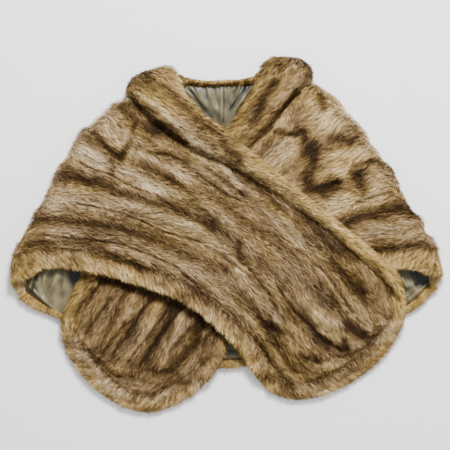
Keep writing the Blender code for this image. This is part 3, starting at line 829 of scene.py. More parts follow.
    def over_fold(self, plan: Array, crest: Array, first_way: Array, way_under: Array) -> tuple[Array, ...]:
        """The rings above the fold: a quarter turn over the crest, and then down to what the front lies on.

        Args:
            plan: Plan points, shaped (rings, samples, 2).
            crest: Plan points of the fold's crest.
            first_way: Directions of the upper sheet at the crest.
            way_under: Directions of the lower sheet.

        Returns:
            Outer points, normals and depths.
        """
        run = plan - crest
        far = np.linalg.norm(run, axis=-1)
        way = np.where(far[..., None] > 1.0, run / np.maximum(far, 1e-6)[..., None], first_way)
        radius = fold_radius(crest[:, 1])
        sine = np.clip(1 - far / radius, 0, 1)
        way = self.turned(way_under, way, 180 - np.degrees(np.arcsin(sine)))
        cosine = np.sqrt(1 - sine**2)
        thick = FRONT_THICK - (FRONT_THICK - BACK_THICK) * np.arcsin(sine) / np.pi
        blend = smooth((far - radius) / FOLD_REACH)
        lying = self.resting_on(plan) + FRONT_THICK
        height = np.where(far < radius, radius * (1 + cosine), 2 * radius * (1 - blend) + lying * blend)
        if self.support is not None:
            height = np.maximum(height, lying * smooth(far / radius - 1.0))
        return at_height(plan, height), at_height(-way * sine[..., None], cosine), thick

    def sheet(self, share: Array, border: bool) -> Layer:
        """The layer of the panel or of the border, from under the fold to its last ring.

        Args:
            share: Shares of the width.
            border: Whether it is the border.

        Returns:
            The layer, with edge distances counted from share 0.
        """
        plan_of, rail = (self.border_across, self.border) if border else (self.across, self.rows)
        places = np.concatenate([np.linspace(0.02, 1, 14), np.arange(1.1, len(rail) - 0.99, RING_STEP)])
        crest = plan_of(np.zeros(len(share)), share)
        first_way = unit(plan_of(np.full(len(share), 0.5), share) - crest)
        way_under = self.under_way(share, border)
        below = self.fold_rings(crest, first_way, way_under)
        plan = plan_of(*np.meshgrid(places, share, indexing="ij"))
        above = self.over_fold(plan, crest, first_way, way_under)
        outer, normal, thick = (np.concatenate(pair) for pair in zip(below, above))
        wide = np.linalg.norm(outer[:, -1] - outer[:, 0], axis=-1)
        place = np.concatenate([np.linspace(-1, -0.08, len(below[0])), places])
        return Layer(outer, normal, thick, share * wide[:, None], place, share)

    def panel(self, samples: int = 73) -> Layer:
        """The panel's layer, with the drop of its pelt rows worked in.

        Args:
            samples: Points across it.

        Returns:
            The layer.
        """
        layer = self.sheet(np.linspace(0, 1, samples), False)
        layer.outer = layer.under(pelt_drop(layer.share))
        layer.thick = layer.thick - pelt_drop(layer.share)
        return layer

    def hem(self, start: float = 0.0, samples: int = 19) -> Layer:
        """The hem border's layer from a share of its width to its seam, with closer samples at its edge."""
        return self.sheet(start + (1 - start) * np.linspace(0, 1, samples) ** 1.2, True)

    def shawl(self, inset: float, samples: int = 17) -> Layer:
        """The collar's layer from its seam to its free edge, an arch over what it rests on.

        Args:
            inset: How far it stays inside its free edge and its top end, in millimetres.
            samples: Points across it.

        Returns:
            The layer, with its height as its depth.
        """
        last = len(self.collar) - 1
        places = np.concatenate([np.linspace(0.12, 3, 26), np.arange(3.1, last + 0.01, RING_STEP)])
        rail = through(self.collar, places)
        share = np.linspace(0, 1, samples)
        span = rail[:, 2:4] - rail[:, 0:2]
        wide = np.linalg.norm(span, axis=1)
        reach = (1 - inset / wide)[:, None] * share
        plan = rail[:, None, 0:2] + span[:, None] * reach[..., None]
        arch = np.maximum(np.sin(np.pi * (ARCH_START + (1 - ARCH_START) * reach)) ** ARCH_POWER, EDGE_LEFT)
        depth = np.interp(places, np.arange(last + 1), self.heights)[:, None] * arch
        normal = at_height(np.zeros_like(plan), 1.0)
        edge = (1 - reach) * wide[:, None]
        return Layer(at_height(plan, self.resting_on(plan) + depth), normal, depth, edge, places - 2, share)


def make_plan() -> tuple[Back, Front, Front]:
    """The back and both fronts, each knowing what it lies on.

    Returns:
        The back, the right front and the left front.
    """
    right = Front(RIGHT_ROWS, RIGHT_CREST, RIGHT_UNDER, RIGHT_COLLAR_TOP, RIGHT_COLLAR_HEIGHTS)
    left = Front(LEFT_ROWS, LEFT_CREST, LEFT_UNDER, LEFT_COLLAR_TOP, LEFT_COLLAR_HEIGHTS, LEFT_CORNER)
    inset = FOLD_UNDER + FOLD_END_GAP
    back = Back(right.under_line(inset), left.under_line(inset))
    right.back, left.back, right.support = back, back, left
    return back, right, left


class Nodes:
    """Short ways to add and join the nodes of one material."""

    def __init__(self, name: str) -> None:
        """Starts a material that holds only its Principled shader and its output.

        Args:
            name: The material's name.
        """
        self.material = bpy.data.materials.new(name)
        self.material.use_nodes = True
        self.tree = self.material.node_tree
        self.shader = self.tree.nodes["Principled BSDF"]

    def feed(self, node: bpy.types.Node, values: Inputs) -> None:
        """Gives a node's inputs their values.

        Args:
            node: The node.
            values: A socket to link or a constant for each input, by its name or number.
        """
        for key, value in values.items():
            if isinstance(value, Socket):
                self.tree.links.new(value, node.inputs[key])
            else:
                node.inputs[key].default_value = value

    def add(self, kind: str, values: Inputs | None = None, **settings: str) -> bpy.types.Node:
        """Adds a node.

        Args:
            kind: Its type.
            values: What its inputs get.
            **settings: Its own settings.

        Returns:
            The node.
        """
        node = self.tree.nodes.new(kind)
        for name, setting in settings.items():
            setattr(node, name, setting)
        self.feed(node, values or {})
        return node

    def maths(self, operation: str, first: object, second: object) -> Socket:
        """The result of a Math node over sockets or numbers."""
        return self.add("ShaderNodeMath", {0: first, 1: second}, operation=operation).outputs[0]

    def summed(self, *terms: tuple[Socket, float]) -> Socket:
        """The sum of sockets, each times its factor.

        Args:
            *terms: Each socket with its factor.

        Returns:
            The sum.
        """
        total, *others = (self.maths("MULTIPLY", socket, factor) for socket, factor in terms)
        for other in others:
            total = self.maths("ADD", total, other)
        return total

    def ramp(self, value: Socket, stops: Sequence[tuple[float, Colour]]) -> Socket:
        """A colour ramp over a value.

        Args:
            value: The value.
            stops: Position and colour of each stop.

        Returns:
            The colour.
        """
        node = self.add("ShaderNodeValToRGB", {0: value})
        elements = node.color_ramp.elements
        elements[0].position, elements[1].position = stops[0][0], stops[-1][0]
        elements[0].color, elements[1].color = (*stops[0][1], 1.0), (*stops[-1][1], 1.0)
        for position, colour in stops[1:-1]:
            elements.new(position).color = (*colour, 1.0)
        return node.outputs[0]

    def mix(self, share: Socket, first: object, second: object) -> Socket:
        """A mix of two colours by a share."""
        return self.add("ShaderNodeMix", {0: share, 6: first, 7: second}, data_type="RGBA").outputs[2]

    def noise(self, vector: Socket, stretch: Colour, detail: float, scale: float = 1.0) -> Socket:
        """Noise over a vector that a Mapping node stretches.

        Args:
            vector: The vector.
            stretch: What each of its axes is multiplied by.
            detail: How fine the noise goes.
            scale: Its scale over the stretched vector.

        Returns:
            The noise, from 0 to 1.
        """
        mapping = self.add("ShaderNodeMapping", {"Scale": stretch, "Vector": vector})
        values = {"Scale": scale, "Detail": detail, "Vector": mapping.outputs[0]}
        return self.add("ShaderNodeTexNoise", values).outputs["Fac"]

    def attribute(self, name: str) -> Socket:
        """The value of a named attribute of the mesh."""
        return self.add("ShaderNodeAttribute", attribute_name=name).outputs["Fac"]

    def bump(self, height: Socket, strength: float, distance: float) -> None:
        """Bumps the shader's normal by a height."""
        node = self.add("ShaderNodeBump", {"Strength": strength, "Distance": distance, "Height": height})
        self.feed(self.shader, {"Normal": node.outputs[0]})

    def finish(self, colour: Socket, roughness: float, specular: float | None = None) -> bpy.types.Material:
        """Gives the shader its colour and its shine, and hands over the material.

        Args:
            colour: Its base colour.
            roughness: Its roughness.
            specular: Its specular level, where it has its own.

        Returns:
            The material.
        """
        self.feed(self.shader, {"Base Color": colour, "Roughness": roughness})
        if specular is not None:
            self.feed(self.shader, {"Specular IOR Level": specular})
        return self.material


@dataclass(frozen=True)
class FurDye:
    """Colours of the mink, from its darkest to its palest hair, as linear colours at tones.

    Attributes:
        cool: Colours of the grey-brown hair.
        gold: Colours of the golden hair.
        streak: Scale of the underfur's streaks across the lie and along it.
        tuft: The same of its tufts.
    """

    cool: tuple[tuple[float, Colour], ...] = (
        (0.0, (0.020, 0.010, 0.004)),
        (0.2, (0.055, 0.030, 0.012)),
        (0.4, (0.135, 0.081, 0.036)),
        (0.6, (0.28, 0.186, 0.096)),
        (0.8, (0.46, 0.34, 0.2)),
        (1.0, (0.69, 0.56, 0.37)),
    )
    gold: tuple[tuple[float, Colour], ...] = (
        (0.0, (0.022, 0.011, 0.003)),
        (0.2, (0.065, 0.035, 0.009)),
        (0.4, (0.155, 0.094, 0.022)),
        (0.6, (0.33, 0.208, 0.06)),
        (0.8, (0.54, 0.374, 0.125)),
        (1.0, (0.75, 0.58, 0.26)),
    )
    streak: Colour = (900.0, 95.0, 1.0)
    tuft: Colour = (190.0, 40.0, 1.0)

    def colour(self, nodes: Nodes, tone: Socket, hue: Socket) -> Socket:
        """The colour at a tone, between the cool and the golden one by the hue."""
        return nodes.mix(hue, nodes.ramp(tone, self.cool), nodes.ramp(tone, self.gold))

    def hair(self) -> bpy.types.Material:
        """The long hair: its tone runs along u and its hue along v, so each blade has its own colours.

        Returns:
            The material.
        """
        nodes = Nodes("mink_hair")
        where = nodes.add("ShaderNodeUVMap", uv_map=HAIR_MAP)
        parts = nodes.add("ShaderNodeSeparateXYZ", {0: where.outputs[0]})
        return nodes.finish(self.colour(nodes, parts.outputs["X"], parts.outputs["Y"]), 0.5, 0.06)

    def skin(self) -> bpy.types.Material:
        """The dense underfur: the same colours by the skin's tone, streaked along the lie of the hair.

        Returns:
            The material.
        """
        nodes = Nodes("mink_underfur")
        where = nodes.add("ShaderNodeUVMap", uv_map=LIE_MAP).outputs[0]
        streak = nodes.noise(where, self.streak, 4.0)
        tuft = nodes.noise(where, self.tuft, 3.0)
        shift = nodes.summed((streak, 0.34), (tuft, 0.26))
        value = nodes.maths("ADD", nodes.maths("SUBTRACT", nodes.attribute(TONE), 0.4), shift)
        nodes.bump(nodes.maths("ADD", streak, tuft), 0.7, 0.0022)
        return nodes.finish(self.colour(nodes, value, nodes.attribute(HUE)), 0.8, 0.2)


MINK = FurDye()


@dataclass(frozen=True)
class Satin:
    """The pale grey-green satin of the linings.

    Attributes:
        pale: Its linear colour.
        shade: The darker colour that its patches, threads and small creases blend towards; in the small
            creases it is painted shade.
        dark: The colour of the painted shade in its hollows.
        patch: Scale of its darker and paler patches across the threads and along them.
        thread: The same of its threads.
        crumple: The same of its small creases.
    """

    pale: Colour = (0.255, 0.21, 0.107)
    shade: Colour = (0.08, 0.066, 0.031)
    dark: Colour = (0.006, 0.006, 0.003)
    patch: Colour = (18.0, 14.0, 1.0)
    thread: Colour = (2600.0, 240.0, 1.0)
    crumple: Colour = (95.0, 60.0, 1.0)

    def make(self) -> bpy.types.Material:
        """Satin: long floats of thread along v, darker and paler patches, painted shade in its small creases
        and a soft shine.

        Returns:
            The material.
        """
        nodes = Nodes("satin_lining")
        where = nodes.add("ShaderNodeUVMap", uv_map=LIE_MAP).outputs[0]
        patch = nodes.noise(where, self.patch, 3.0)
        thread = nodes.noise(where, self.thread, 2.0)
        crumple = nodes.noise(where, self.crumple, 0.6)
        # The small creases that bump the satin also darken its colour where they sink: painted shade
        share = nodes.summed((patch, 0.5), (thread, 0.15), (crumple, 0.5))
        colour = nodes.ramp(share, ((0.42, self.shade), (0.72, self.pale)))
        nodes.bump(crumple, 0.45, 0.002)
        # The tone mixes in the dark colour: painted shade in the hollows, and less of it on creases and folds
        # that carry painted highlights
        return nodes.finish(nodes.mix(nodes.attribute(TONE), (*self.dark, 1.0), colour), 0.4, 0.34)


class Hold(Enum):
    LAID = "laid"
    FOLDED = "folded"


class Slot(Enum):
    """The record's material slots."""

    MINK = "mink_fur"
    BORDER = "border_fur"
    SATIN = "satin_lining"


@dataclass(frozen=True)
class Cut:
    """The flat piece that a sheet was cut from.

    Attributes:
        wide: Its width in metres.
        long: Its length in metres.
        area: Its area in square metres.
        hold: How it is held.
        rests_on: What it lies on.
    """

    wide: float
    long: float
    area: float
    hold: Hold
    rests_on: tuple[str, ...] = ()


@dataclass
class Coat:
    """A closed skin as rings of points round its section: the top row, and then the bottom row going back.

    Attributes:
        points: Points in millimetres, shaped (rings, 2 * samples, 3).
        along: Distance along the lie of the hair at each point, in millimetres.
        across: Distance across it.
        tone: Tone of the fur at each point.
        hue: Its hue, from cool (0) to golden (1).
    """

    points: Array
    along: Array
    across: Array
    tone: Array
    hue: Array

    @classmethod
    def of(cls, top: Array, bottom: Array, *values: Array | float) -> Coat:
        """Joins a top and a bottom grid, which share their values.

        Args:
            top: Points of the top.
            bottom: Points of the bottom.
            *values: Distances along and across, tone and hue, each a grid or one number.

        Returns:
            The coat.
        """
        grids = (doubled(np.broadcast_to(value, top.shape[:2])) for value in values)
        return cls(np.concatenate([top, bottom[:, ::-1]], axis=1), *grids)

    def bare(self) -> Array:
        """Weights of no hair at all, one for each cell."""
        return np.zeros((len(self.points) - 1, self.points.shape[1]))

    def ways(self) -> tuple[Array, Array]:
        """Unit vectors along the rings and round the section."""
        around = np.roll(self.points, -1, 1) - np.roll(self.points, 1, 1)
        return unit(np.gradient(self.points, axis=0)), unit(around)

    def normals(self) -> Array:
        """Unit vectors out of the skin: the cross product of its two ways, turned outwards.

        Returns:
            The vectors, shaped as the points.
        """
        found = unit(np.cross(*self.ways()))
        middle = self.points.mean(axis=1, keepdims=True)
        return found * np.sign(((self.points - middle) * found).sum())

    def turn_towards(self, hair: Hair, heading: float) -> Array:
        """Degrees by which hair turns to lie along one plan direction, from its shares along and round.

        Args:
            hair: How it grows.
            heading: The plan direction in degrees from +x.

        Returns:
            The turn at each grid point, from -180 to 180.
        """
        forward, around = (way[..., :2] for way in self.ways())
        way = plan_angle(heading)
        twist = forward[..., 0] * around[..., 1] - forward[..., 1] * around[..., 0]
        twist = np.where(np.abs(twist) < LEAST_TWIST, LEAST_TWIST, twist)
        ahead = (way[0] * around[..., 1] - way[1] * around[..., 0]) / twist
        aside = (forward[..., 0] * way[1] - forward[..., 1] * way[0]) / twist
        own = np.degrees(np.arctan2(hair.way[1], hair.way[0]))
        return (np.degrees(np.arctan2(aside, ahead)) - own + 180) % 360 - 180

    def mesh(self, name: str) -> Mesh:
        """The skin as a closed mesh: quads between the rings, and strips of quads over both ends.

        Args:
            name: The mesh's name.

        Returns:
            The mesh, with tone and hue as attributes and its lie in metres as a map.
        """
        rings, around, _ = self.points.shape
        ring, step = np.meshgrid(np.arange(rings - 1) * around, np.arange(around), indexing="ij")
        after = (step + 1) % around
        sides = np.stack([ring + step, ring + around + step, ring + around + after, ring + after], -1)
        half = np.arange(around // 2 - 1)
        start = np.stack([half, half + 1, around - 2 - half, around - 1 - half], -1)
        faces = np.concatenate([sides.reshape(-1, 4), start, start[:, ::-1] + (rings - 1) * around])
        spots = self.points.reshape(-1, 3)
        first, second, third = (spots[faces[:, corner]] for corner in range(3))
        if (np.cross(second - first, third - first) * first).sum() < 0:
            faces = faces[:, ::-1]
        mesh = bpy.data.meshes.new(name)
        mesh.from_pydata((spots * MM).tolist(), [], faces.tolist())
        mesh.polygons.foreach_set("use_smooth", np.ones(len(faces), bool))
        for label, values in ((TONE, self.tone), (HUE, self.hue)):
            made = mesh.attributes.new(label, "FLOAT", "POINT")
            made.data.foreach_set("value", values.astype(np.float32).ravel())
        lie = np.stack([self.across, self.along], -1).reshape(-1, 2) * MM
        layer = mesh.uv_layers.new(name=LIE_MAP)
        layer.uv.foreach_set("vector", lie[faces.ravel()].astype(np.float32).ravel())
        mesh.update()
        return mesh


def doubled(values: Array) -> Array:
    """Values of the top row repeated for the bottom row going back."""
    return np.concatenate([values, values[:, ::-1]], axis=1)


@dataclass(frozen=True)
class Hair:
    """How the long hair of one piece grows.

    Attributes:
        count: Number of blades.
        length: Mean length in millimetres.
        wide: Width of a blade.
        lift: Angle at which it leaves the skin, in degrees.
        way: Shares of its direction that run along the rings and round the section.
        tousle: How far tufts turn from that, in degrees.
        seed: Seed of all that is random in it.
    """

    count: int
    length: float
    wide: float
    lift: float
    way: tuple[float, float]
    tousle: float
    seed: int


@dataclass(frozen=True)
class Habit:
    """How single hairs differ: shares, degrees, millimetres, and steps of tone and hue.

    Guard hairs are longer, narrower and darker. Wave and ripple are the lengths and widths of the tufts.
    Swing turns hair on the skin, and lift stands it up.
    """

    length: tuple[float, float] = (0.75, 1.15)
    width: tuple[float, float] = (0.7, 1.3)
    guard_share: float = 0.14
    guard_longer: float = 0.18
    guard_narrower: float = 0.35
    guard_darker: float = 0.1
    wave: tuple[float, float] = (26.0, 17.0)
    ripple: tuple[float, float] = (10.0, 7.0)
    ripple_share: float = 0.7
    lock_gather: float = 0.75
    lock_swing: float = 15.0
    own_swing: float = 6.0
    lock_lift: float = 7.0
    own_lift: float = 4.0
    lift_at_root: float = 10.0
    lift_at_tip: float = -18.0
    roll: float = 22.0
    root_sunk: float = 0.6
    floor_gap: float = 0.3
    lock_tone: float = 0.15
    own_tone: float = 0.06
    lock_hue: float = 0.12
    own_hue: float = 0.06
    # Steps of tone at the root, halfway and the tip: the darker root is partly the hair's own colour and
    # partly painted shade among the hairs
    tones: tuple[float, float, float] = (-0.21, -0.01, 0.09)


HABIT = Habit()


def locks(seed: int, along: Array, across: Array) -> tuple[Array, Array]:
    """Hair gathers in small locks: cells of a brick-like grid, each with its own random values.

    Args:
        seed: Seed of the locks.
        along: Distance of each hair along its lie.
        across: Distance across it.

    Returns:
        The lock's five random values, and the distance across to its middle.
    """
    values = np.random.default_rng(seed).uniform(-1, 1, (LOCK_TABLE, 5))
    row = across / LOCK_WIDE + LOCK_WAVER * drift(seed + 1, along, across, *LOCK_WAVER_SIZE)
    line = np.floor(row).astype(int)
    first = line * LOCK_PRIMES[0]
    step = np.floor(along / LOCK_LONG + 2 * values[first % LOCK_TABLE, 0]).astype(int)
    return values[(first + step * LOCK_PRIMES[1]) % LOCK_TABLE], (line + 0.5 - row) * LOCK_WIDE


@dataclass
class Grower:
    """Grows the hair of one coat as a mesh of narrow blades.

    Attributes:
        coat: The skin that it grows on.
        hair: How it grows.
        paint: Tone to add at points in space, such as the furrows' painted shade.
    """

    coat: Coat
    hair: Hair
    paint: Callable[[Array], Array] | None = None

    def __post_init__(self) -> None:
        """Starts the random draws."""
        self.random = np.random.default_rng(self.hair.seed)

    def roots(self, weight: Array) -> tuple[Array, Array, Array, Array]:
        """Places hair evenly by area: equal steps through the cells' added areas, each moved a little.

        Args:
            weight: How densely hair grows on each cell, shaped (rings - 1, points round).

        Returns:
            Ring, step round the section, and the shares within the cell along and across.
        """
        points, count = self.coat.points, self.hair.count
        second = np.roll(points, -1, 1)[:-1] - points[:-1]
        area = np.linalg.norm(np.cross(points[1:] - points[:-1], second), axis=-1) * weight
        total = np.cumsum(area.ravel())
        at = (np.arange(count) + self.random.random(count)) / count * total[-1]
        ring, step = np.divmod(np.searchsorted(total, at).clip(0, area.size - 1), area.shape[1])
        return ring, step, self.random.random(count), self.random.random(count)

    def blend(self, grid: Array, where: tuple[Array, Array, Array, Array]) -> Array:
        """Values of a grid at the roots, mixed from the four corners of their cells.

        Args:
            grid: The values at the grid's points.
            where: The roots.

        Returns:
            One value or vector for each root.
        """
        ring, step, a, b = where
        after = (step + 1) % grid.shape[1]
        if grid.ndim == 3:
            a, b = a[:, None], b[:, None]
        near = grid[ring, step] * (1 - b) + grid[ring, after] * b
        far = grid[ring + 1, step] * (1 - b) + grid[ring + 1, after] * b
        return near * (1 - a) + far * a

    def mesh(self, name: str, weight: Array, turn: Array, spread: Array, lift: Array) -> Mesh:
        """Blades of two steps, which leave the skin at the lift, lean to their lock and bend down to the tip.

        Args:
            name: The mesh's name.
            weight: How densely hair grows on each cell.
            turn: Degrees by which the hair turns from its direction at each grid point.
            spread: Length of the hair at each grid point, as a share.
            lift: Degrees by which it stands up more at each grid point.

        Returns:
            The mesh, with tone and hue in its map.
        """
        hair, coat, draw, habit, count = self.hair, self.coat, self.random, HABIT, self.hair.count
        where = self.roots(weight)
        grids = (coat.points, coat.normals(), *coat.ways(), coat.along, coat.across, coat.tone, coat.hue)
        root, normal, forward, around, along, across, tone, hue = (self.blend(grid, where) for grid in grids)
        normal = unit(normal)
        ahead, beside = np.array(hair.way) / np.hypot(*hair.way)
        lie, side = forward * ahead + around * beside, around * ahead - forward * beside
        lie = unit(lie - normal * (lie * normal).sum(-1, keepdims=True))
        side = unit(side - normal * (side * normal).sum(-1, keepdims=True))
        run, aside = along * ahead + across * beside, across * ahead - along * beside
        lock, to_middle = locks(hair.seed + 1, run, aside)
        guard = draw.random(count) < habit.guard_share
        length = hair.length * self.blend(spread, where) * draw.uniform(*habit.length, count)
        length = length * (1 + habit.guard_longer * guard)
        wave = drift(hair.seed + 3, run, aside, *habit.wave)
        wave = wave + habit.ripple_share * drift(hair.seed + 4, run, aside, *habit.ripple)
        swing = self.blend(turn, where) + hair.tousle * wave + habit.lock_swing * lock[:, 1]
        swing = np.radians(swing + draw.normal(0, habit.own_swing, count))
        swing = (swing + habit.lock_gather * np.arctan(to_middle / length))[:, None]
        lie, side = lie * np.cos(swing) + side * np.sin(swing), side * np.cos(swing) - lie * np.sin(swing)
        rise = hair.lift + self.blend(lift, where) + habit.lock_lift * lock[:, 2]
        rise = (rise + draw.normal(0, habit.own_lift, count))[:, None]
        first, second = np.radians(rise + habit.lift_at_root), np.radians(rise + habit.lift_at_tip)
        middle = root + length[:, None] * 0.5 * (lie * np.cos(first) + normal * np.sin(first))
        tip = middle + length[:, None] * 0.5 * (lie * np.cos(second) + normal * np.sin(second))
        roll = np.radians(draw.normal(0, habit.roll, count))[:, None]
        half = 0.5 * hair.wide * draw.uniform(*habit.width, count) * (1 - habit.guard_narrower * guard)
        off = (side * np.cos(roll) + normal * np.sin(roll)) * half[:, None]
        root = root - normal * habit.root_sunk
        spots = np.stack([root - off, root + off, middle - off, middle + off, tip], 1)
        spots[..., 2] = np.maximum(spots[..., 2], habit.floor_gap)
        own = tone + habit.lock_tone * lock[:, 3] + draw.normal(0, habit.own_tone, count)
        tones = (own - habit.guard_darker * guard)[:, None] + habit.tones
        # The paint adds the furrows' painted shade at the root, halfway and the tip
        if self.paint is not None:
            tones = tones + np.stack([self.paint(place) for place in (root, middle, tip)], -1)
        hue = hue + habit.lock_hue * lock[:, 4] + draw.normal(0, habit.own_hue, count)
        return blades(name, spots, np.clip(tones, *HAIR_RANGE), np.clip(hue, *HAIR_RANGE))


def blades(name: str, spots: Array, tones: Array, hue: Array) -> Mesh:
    """A mesh of blades, each a quad and then a triangle to its tip.

    Args:
        name: The mesh's name.
        spots: Points in millimetres, shaped (blades, 5, 3): two at the root, two halfway and the tip.
        tones: Tones from 0 to 1 at the root, halfway and at the tip, shaped (blades, 3).
        hue: Each blade's hue from 0 to 1.

    Returns:
        The mesh, whose map holds the tone as u and the hue as v.
    """
    count = len(spots)
    corners = np.arange(count)[:, None] * 5 + np.array([0, 1, 3, 2, 2, 3, 4])
    starts = np.arange(count)[:, None] * 7 + np.array([0, 4])
    mesh = bpy.data.meshes.new(name)
    mesh.vertices.add(count * 5)
    mesh.vertices.foreach_set("co", (spots * MM).astype(np.float32).ravel())
    mesh.loops.add(count * 7)
    mesh.loops.foreach_set("vertex_index", corners.astype(np.int32).ravel())
    mesh.polygons.add(count * 2)
    mesh.polygons.foreach_set("loop_start", starts.astype(np.int32).ravel())
    mesh.polygons.foreach_set("use_smooth", np.ones(count * 2, bool))
    mesh.update(calc_edges=True)
    u = tones[:, [0, 0, 1, 1, 1, 1, 2]]
    v = hue[:, None] + np.array([-1.0, 1.0, 1.0, -1.0, -1.0, 1.0, 0.0]) * HUE_STEP
    layer = mesh.uv_layers.new(name=HAIR_MAP)
    layer.uv.foreach_set("vector", np.stack([u, v], -1).astype(np.float32).ravel())
    mesh.validate()
    return mesh


def add_object(name: str, data: bpy.types.ID) -> bpy.types.Object:
    """Adds an object to the scene.

    Args:
        name: Its name.
        data: Its mesh, light or camera.

    Returns:
        The object.
    """
    made = bpy.data.objects.new(name, data)
    bpy.context.scene.collection.objects.link(made)
    return made


def add_piece(mesh: Mesh, finish: bpy.types.Material) -> bpy.types.Object:
    """Adds a mesh as a piece that rides on the body, and logs it.

    Args:
        mesh: Its mesh, in metres, which gives it its name.
        finish: Its material.

    Returns:
        The piece.
    """
    mesh.materials.append(finish)
    piece = add_object(mesh.name, mesh)
    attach(piece, BODY)
    LOG.info("%s: %d faces", piece.name, len(mesh.polygons))
    return piece


def add_sheet(skin: Mesh, slot: Slot, node: str = "", hair: Sequence[Mesh] = ()) -> None:
    """Adds a skin or a lining, with the hair that grows on it.

    Args:
        skin: The sheet's mesh.
        slot: Which material the skin gets: the satin for the satin slot, the underfur for the others.
        node: The solid that it replaces, if any.
        hair: The mesh of its hair, if any.
    """
    piece = add_piece(skin, Satin().make() if slot is Slot.SATIN else MINK.skin())
    if node:
        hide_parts(node)
    [add_piece(mesh, MINK.hair()) for mesh in hair]


class Part(Enum):
    """The parts of a front, by the last words of their nodes."""

    PANEL = "front"
    BORDER = "hem_border"
    COLLAR = "collar"


SLOTS = {Part.PANEL: Slot.MINK, Part.BORDER: Slot.BORDER, Part.COLLAR: Slot.MINK}


@dataclass
class StoleFront:
    """One front of the stole: its panel of pelts, its hem border, its collar and its lining.

    Attributes:
        name: "right" or "left".
        front: Its plan.
        furrows: What the photograph shows in its fur.
        cover: Outline of what lies on it, under which no hair is grown.
        depth: What is added to the tone of all its pelts.
        flow: Plan direction of the hair at its tip, in degrees from +x.
        seed: Seed of its random fields.
        blades: Number of the panel's blades.
    """

    name: str
    front: Front
    furrows: Sequence[Furrow]
    cover: Array | None
    depth: float
    flow: float
    seed: int
    blades: int
    # Depths of fur, skin and lining, and of what the relief adds, in millimetres
    fur_deep: float = 6.0
    ridge_deep: float = 5.2
    skin_least: float = 2.4
    lining_room: float = 1.4
    edge_inset: float = 6.0
    border_wide: float = 34.0
    collar_wide: float = 60.0
    billow: float = 3.3
    wander: float = 1.2
    valley_more: float = 0.3
    collar_foot: float = 3.0
    # Where the hair turns over the side fold's crest and down the tip, as a start and a reach in rows
    crest_span: tuple[float, float] = (0.6, -0.8)
    lobe_span: tuple[float, float] = (6.5, 3.0)
    # The tip: where the lie starts to lean in rows and how much, its tone, the rise of the skin along the
    # seam, and the weight there of the seam's painted light
    lobe_from: float = 7.0
    lobe_shear: float = 0.035
    lobe_tone: float = -0.12
    lobe_rise: float = 6.5
    lobe_seam: float = 0.2
    hem_rise: float = 2.0
    # Tones of the parts
    pelt_tone: float = 0.575
    border_tone: float = 0.64
    collar_tone: float = 0.52
    # Turns and lifts of the hair in degrees
    herring: float = 13.0
    crest_turn: float = -72.0
    crest_lift: float = 4.0
    inner_turn: float = 140.0
    # How far inside a cover's outline hair still grows
    hidden_inside: float = 10.0

    def build(self) -> None:
        """Builds all its parts."""
        seed = self.seed
        self.build_panel(Hair(self.blades, 12.5, 0.85, lift=24, way=(1, 0), tousle=17, seed=seed + 20))
        self.build_border(Hair(26000, 11.0, 0.9, lift=28, way=(0.6, -0.7), tousle=18, seed=seed + 30))
        self.build_collar(Hair(25000, 12.0, 0.9, lift=24, way=(0.85, 0.4), tousle=16, seed=seed + 40))
        self.build_lining()

    def field(self, layer: Layer, number: int, long: float, wide: float) -> Array:
        """One of the front's random fields, over the lie of a layer's hair."""
        return drift(self.seed + number, layer.along, layer.across, long, wide)

    def jagged(self, plan: Array) -> Array:
        """Plan points moved a little by two random fields, so that what is drawn over them has uneven edges.

        Args:
            plan: Plan points.

        Returns:
            The moved points.
        """
        x, y = plan[..., 0], plan[..., 1]
        seeds = (self.seed + 11, self.seed + 12)
        moved = [drift(seed, x, y, 7.0, 7.0) + 0.7 * drift(seed, y, x, 19.0, 19.0) for seed in seeds]
        return plan + self.wander * np.stack(moved, -1)

    def paint(self, points: Array) -> Array:
        """Tone, painted shade among it, that the furrows add at points in space: weaker near the outline, and
        none under the fold.

        Args:
            points: Points in millimetres, one a row.

        Returns:
            The added tone.
        """
        plan = self.jagged(points[:, :2])
        x, y = plan.T
        broken = 1.0 + 0.25 * drift(self.seed + 11, x + y, x - y, 9.0, 5.0)
        tone = sum(furrow.tone * furrow.weight(plan) for furrow in self.furrows)
        edge = 0.3 + 0.7 * smooth(inside_by(plan, self.front.outline()) / 11.0)
        return tone * broken * edge * smooth((points[:, 2] - 8.0) / 6.0)

    def relief(self, layer: Layer) -> Array:
        """Depth that the furrows and the soft billows of the fur add at each point."""
        deep = sum(furrow.deep * furrow.weight(layer.outer[..., :2]) for furrow in self.furrows)
        return self.billow * self.field(layer, 9, 38.0, 17.0) + deep * layer.past(-0.1, 0.1)

    def laid(self, layer: Layer, wide: float) -> Layer:
        """A layer with the lie of its hair: distances along and across it, leaning to the hem at the tip.

        Args:
            layer: The layer.
            wide: Its width in millimetres.

        Returns:
            The same layer.
        """
        gone = lengths(layer.outer[:, layer.outer.shape[1] // 2])
        shear = self.lobe_shear * np.clip(layer.place - self.lobe_from, 0, None)
        layer.along = np.broadcast_to(gone[:, None], layer.thick.shape)
        layer.across = (layer.share + shear[:, None]) * wide
        return layer

    def panel_tone(self, layer: Layer) -> Array:
        """Tone of the pelts: their bands, streaks along the hair and patches.

        Args:
            layer: The panel's layer.

        Returns:
            The tone at each point.
        """
        wavy = layer.across + 5.0 * self.field(layer, 0, 55.0, 60.0)
        bands = np.interp(wavy / PANEL_WIDE, *np.array(PELT_TONES).T) * (1 + 0.1 * layer.past(5, 4))
        streak, patch = self.field(layer, 1, 42.0, 9.0), self.field(layer, 3, 26.0, 20.0)
        ends = self.lobe_tone * layer.past(*self.lobe_span) + 0.05 * layer.past(4.5, -3)
        return self.depth + self.pelt_tone + bands + 0.13 * streak + 0.1 * patch + ends

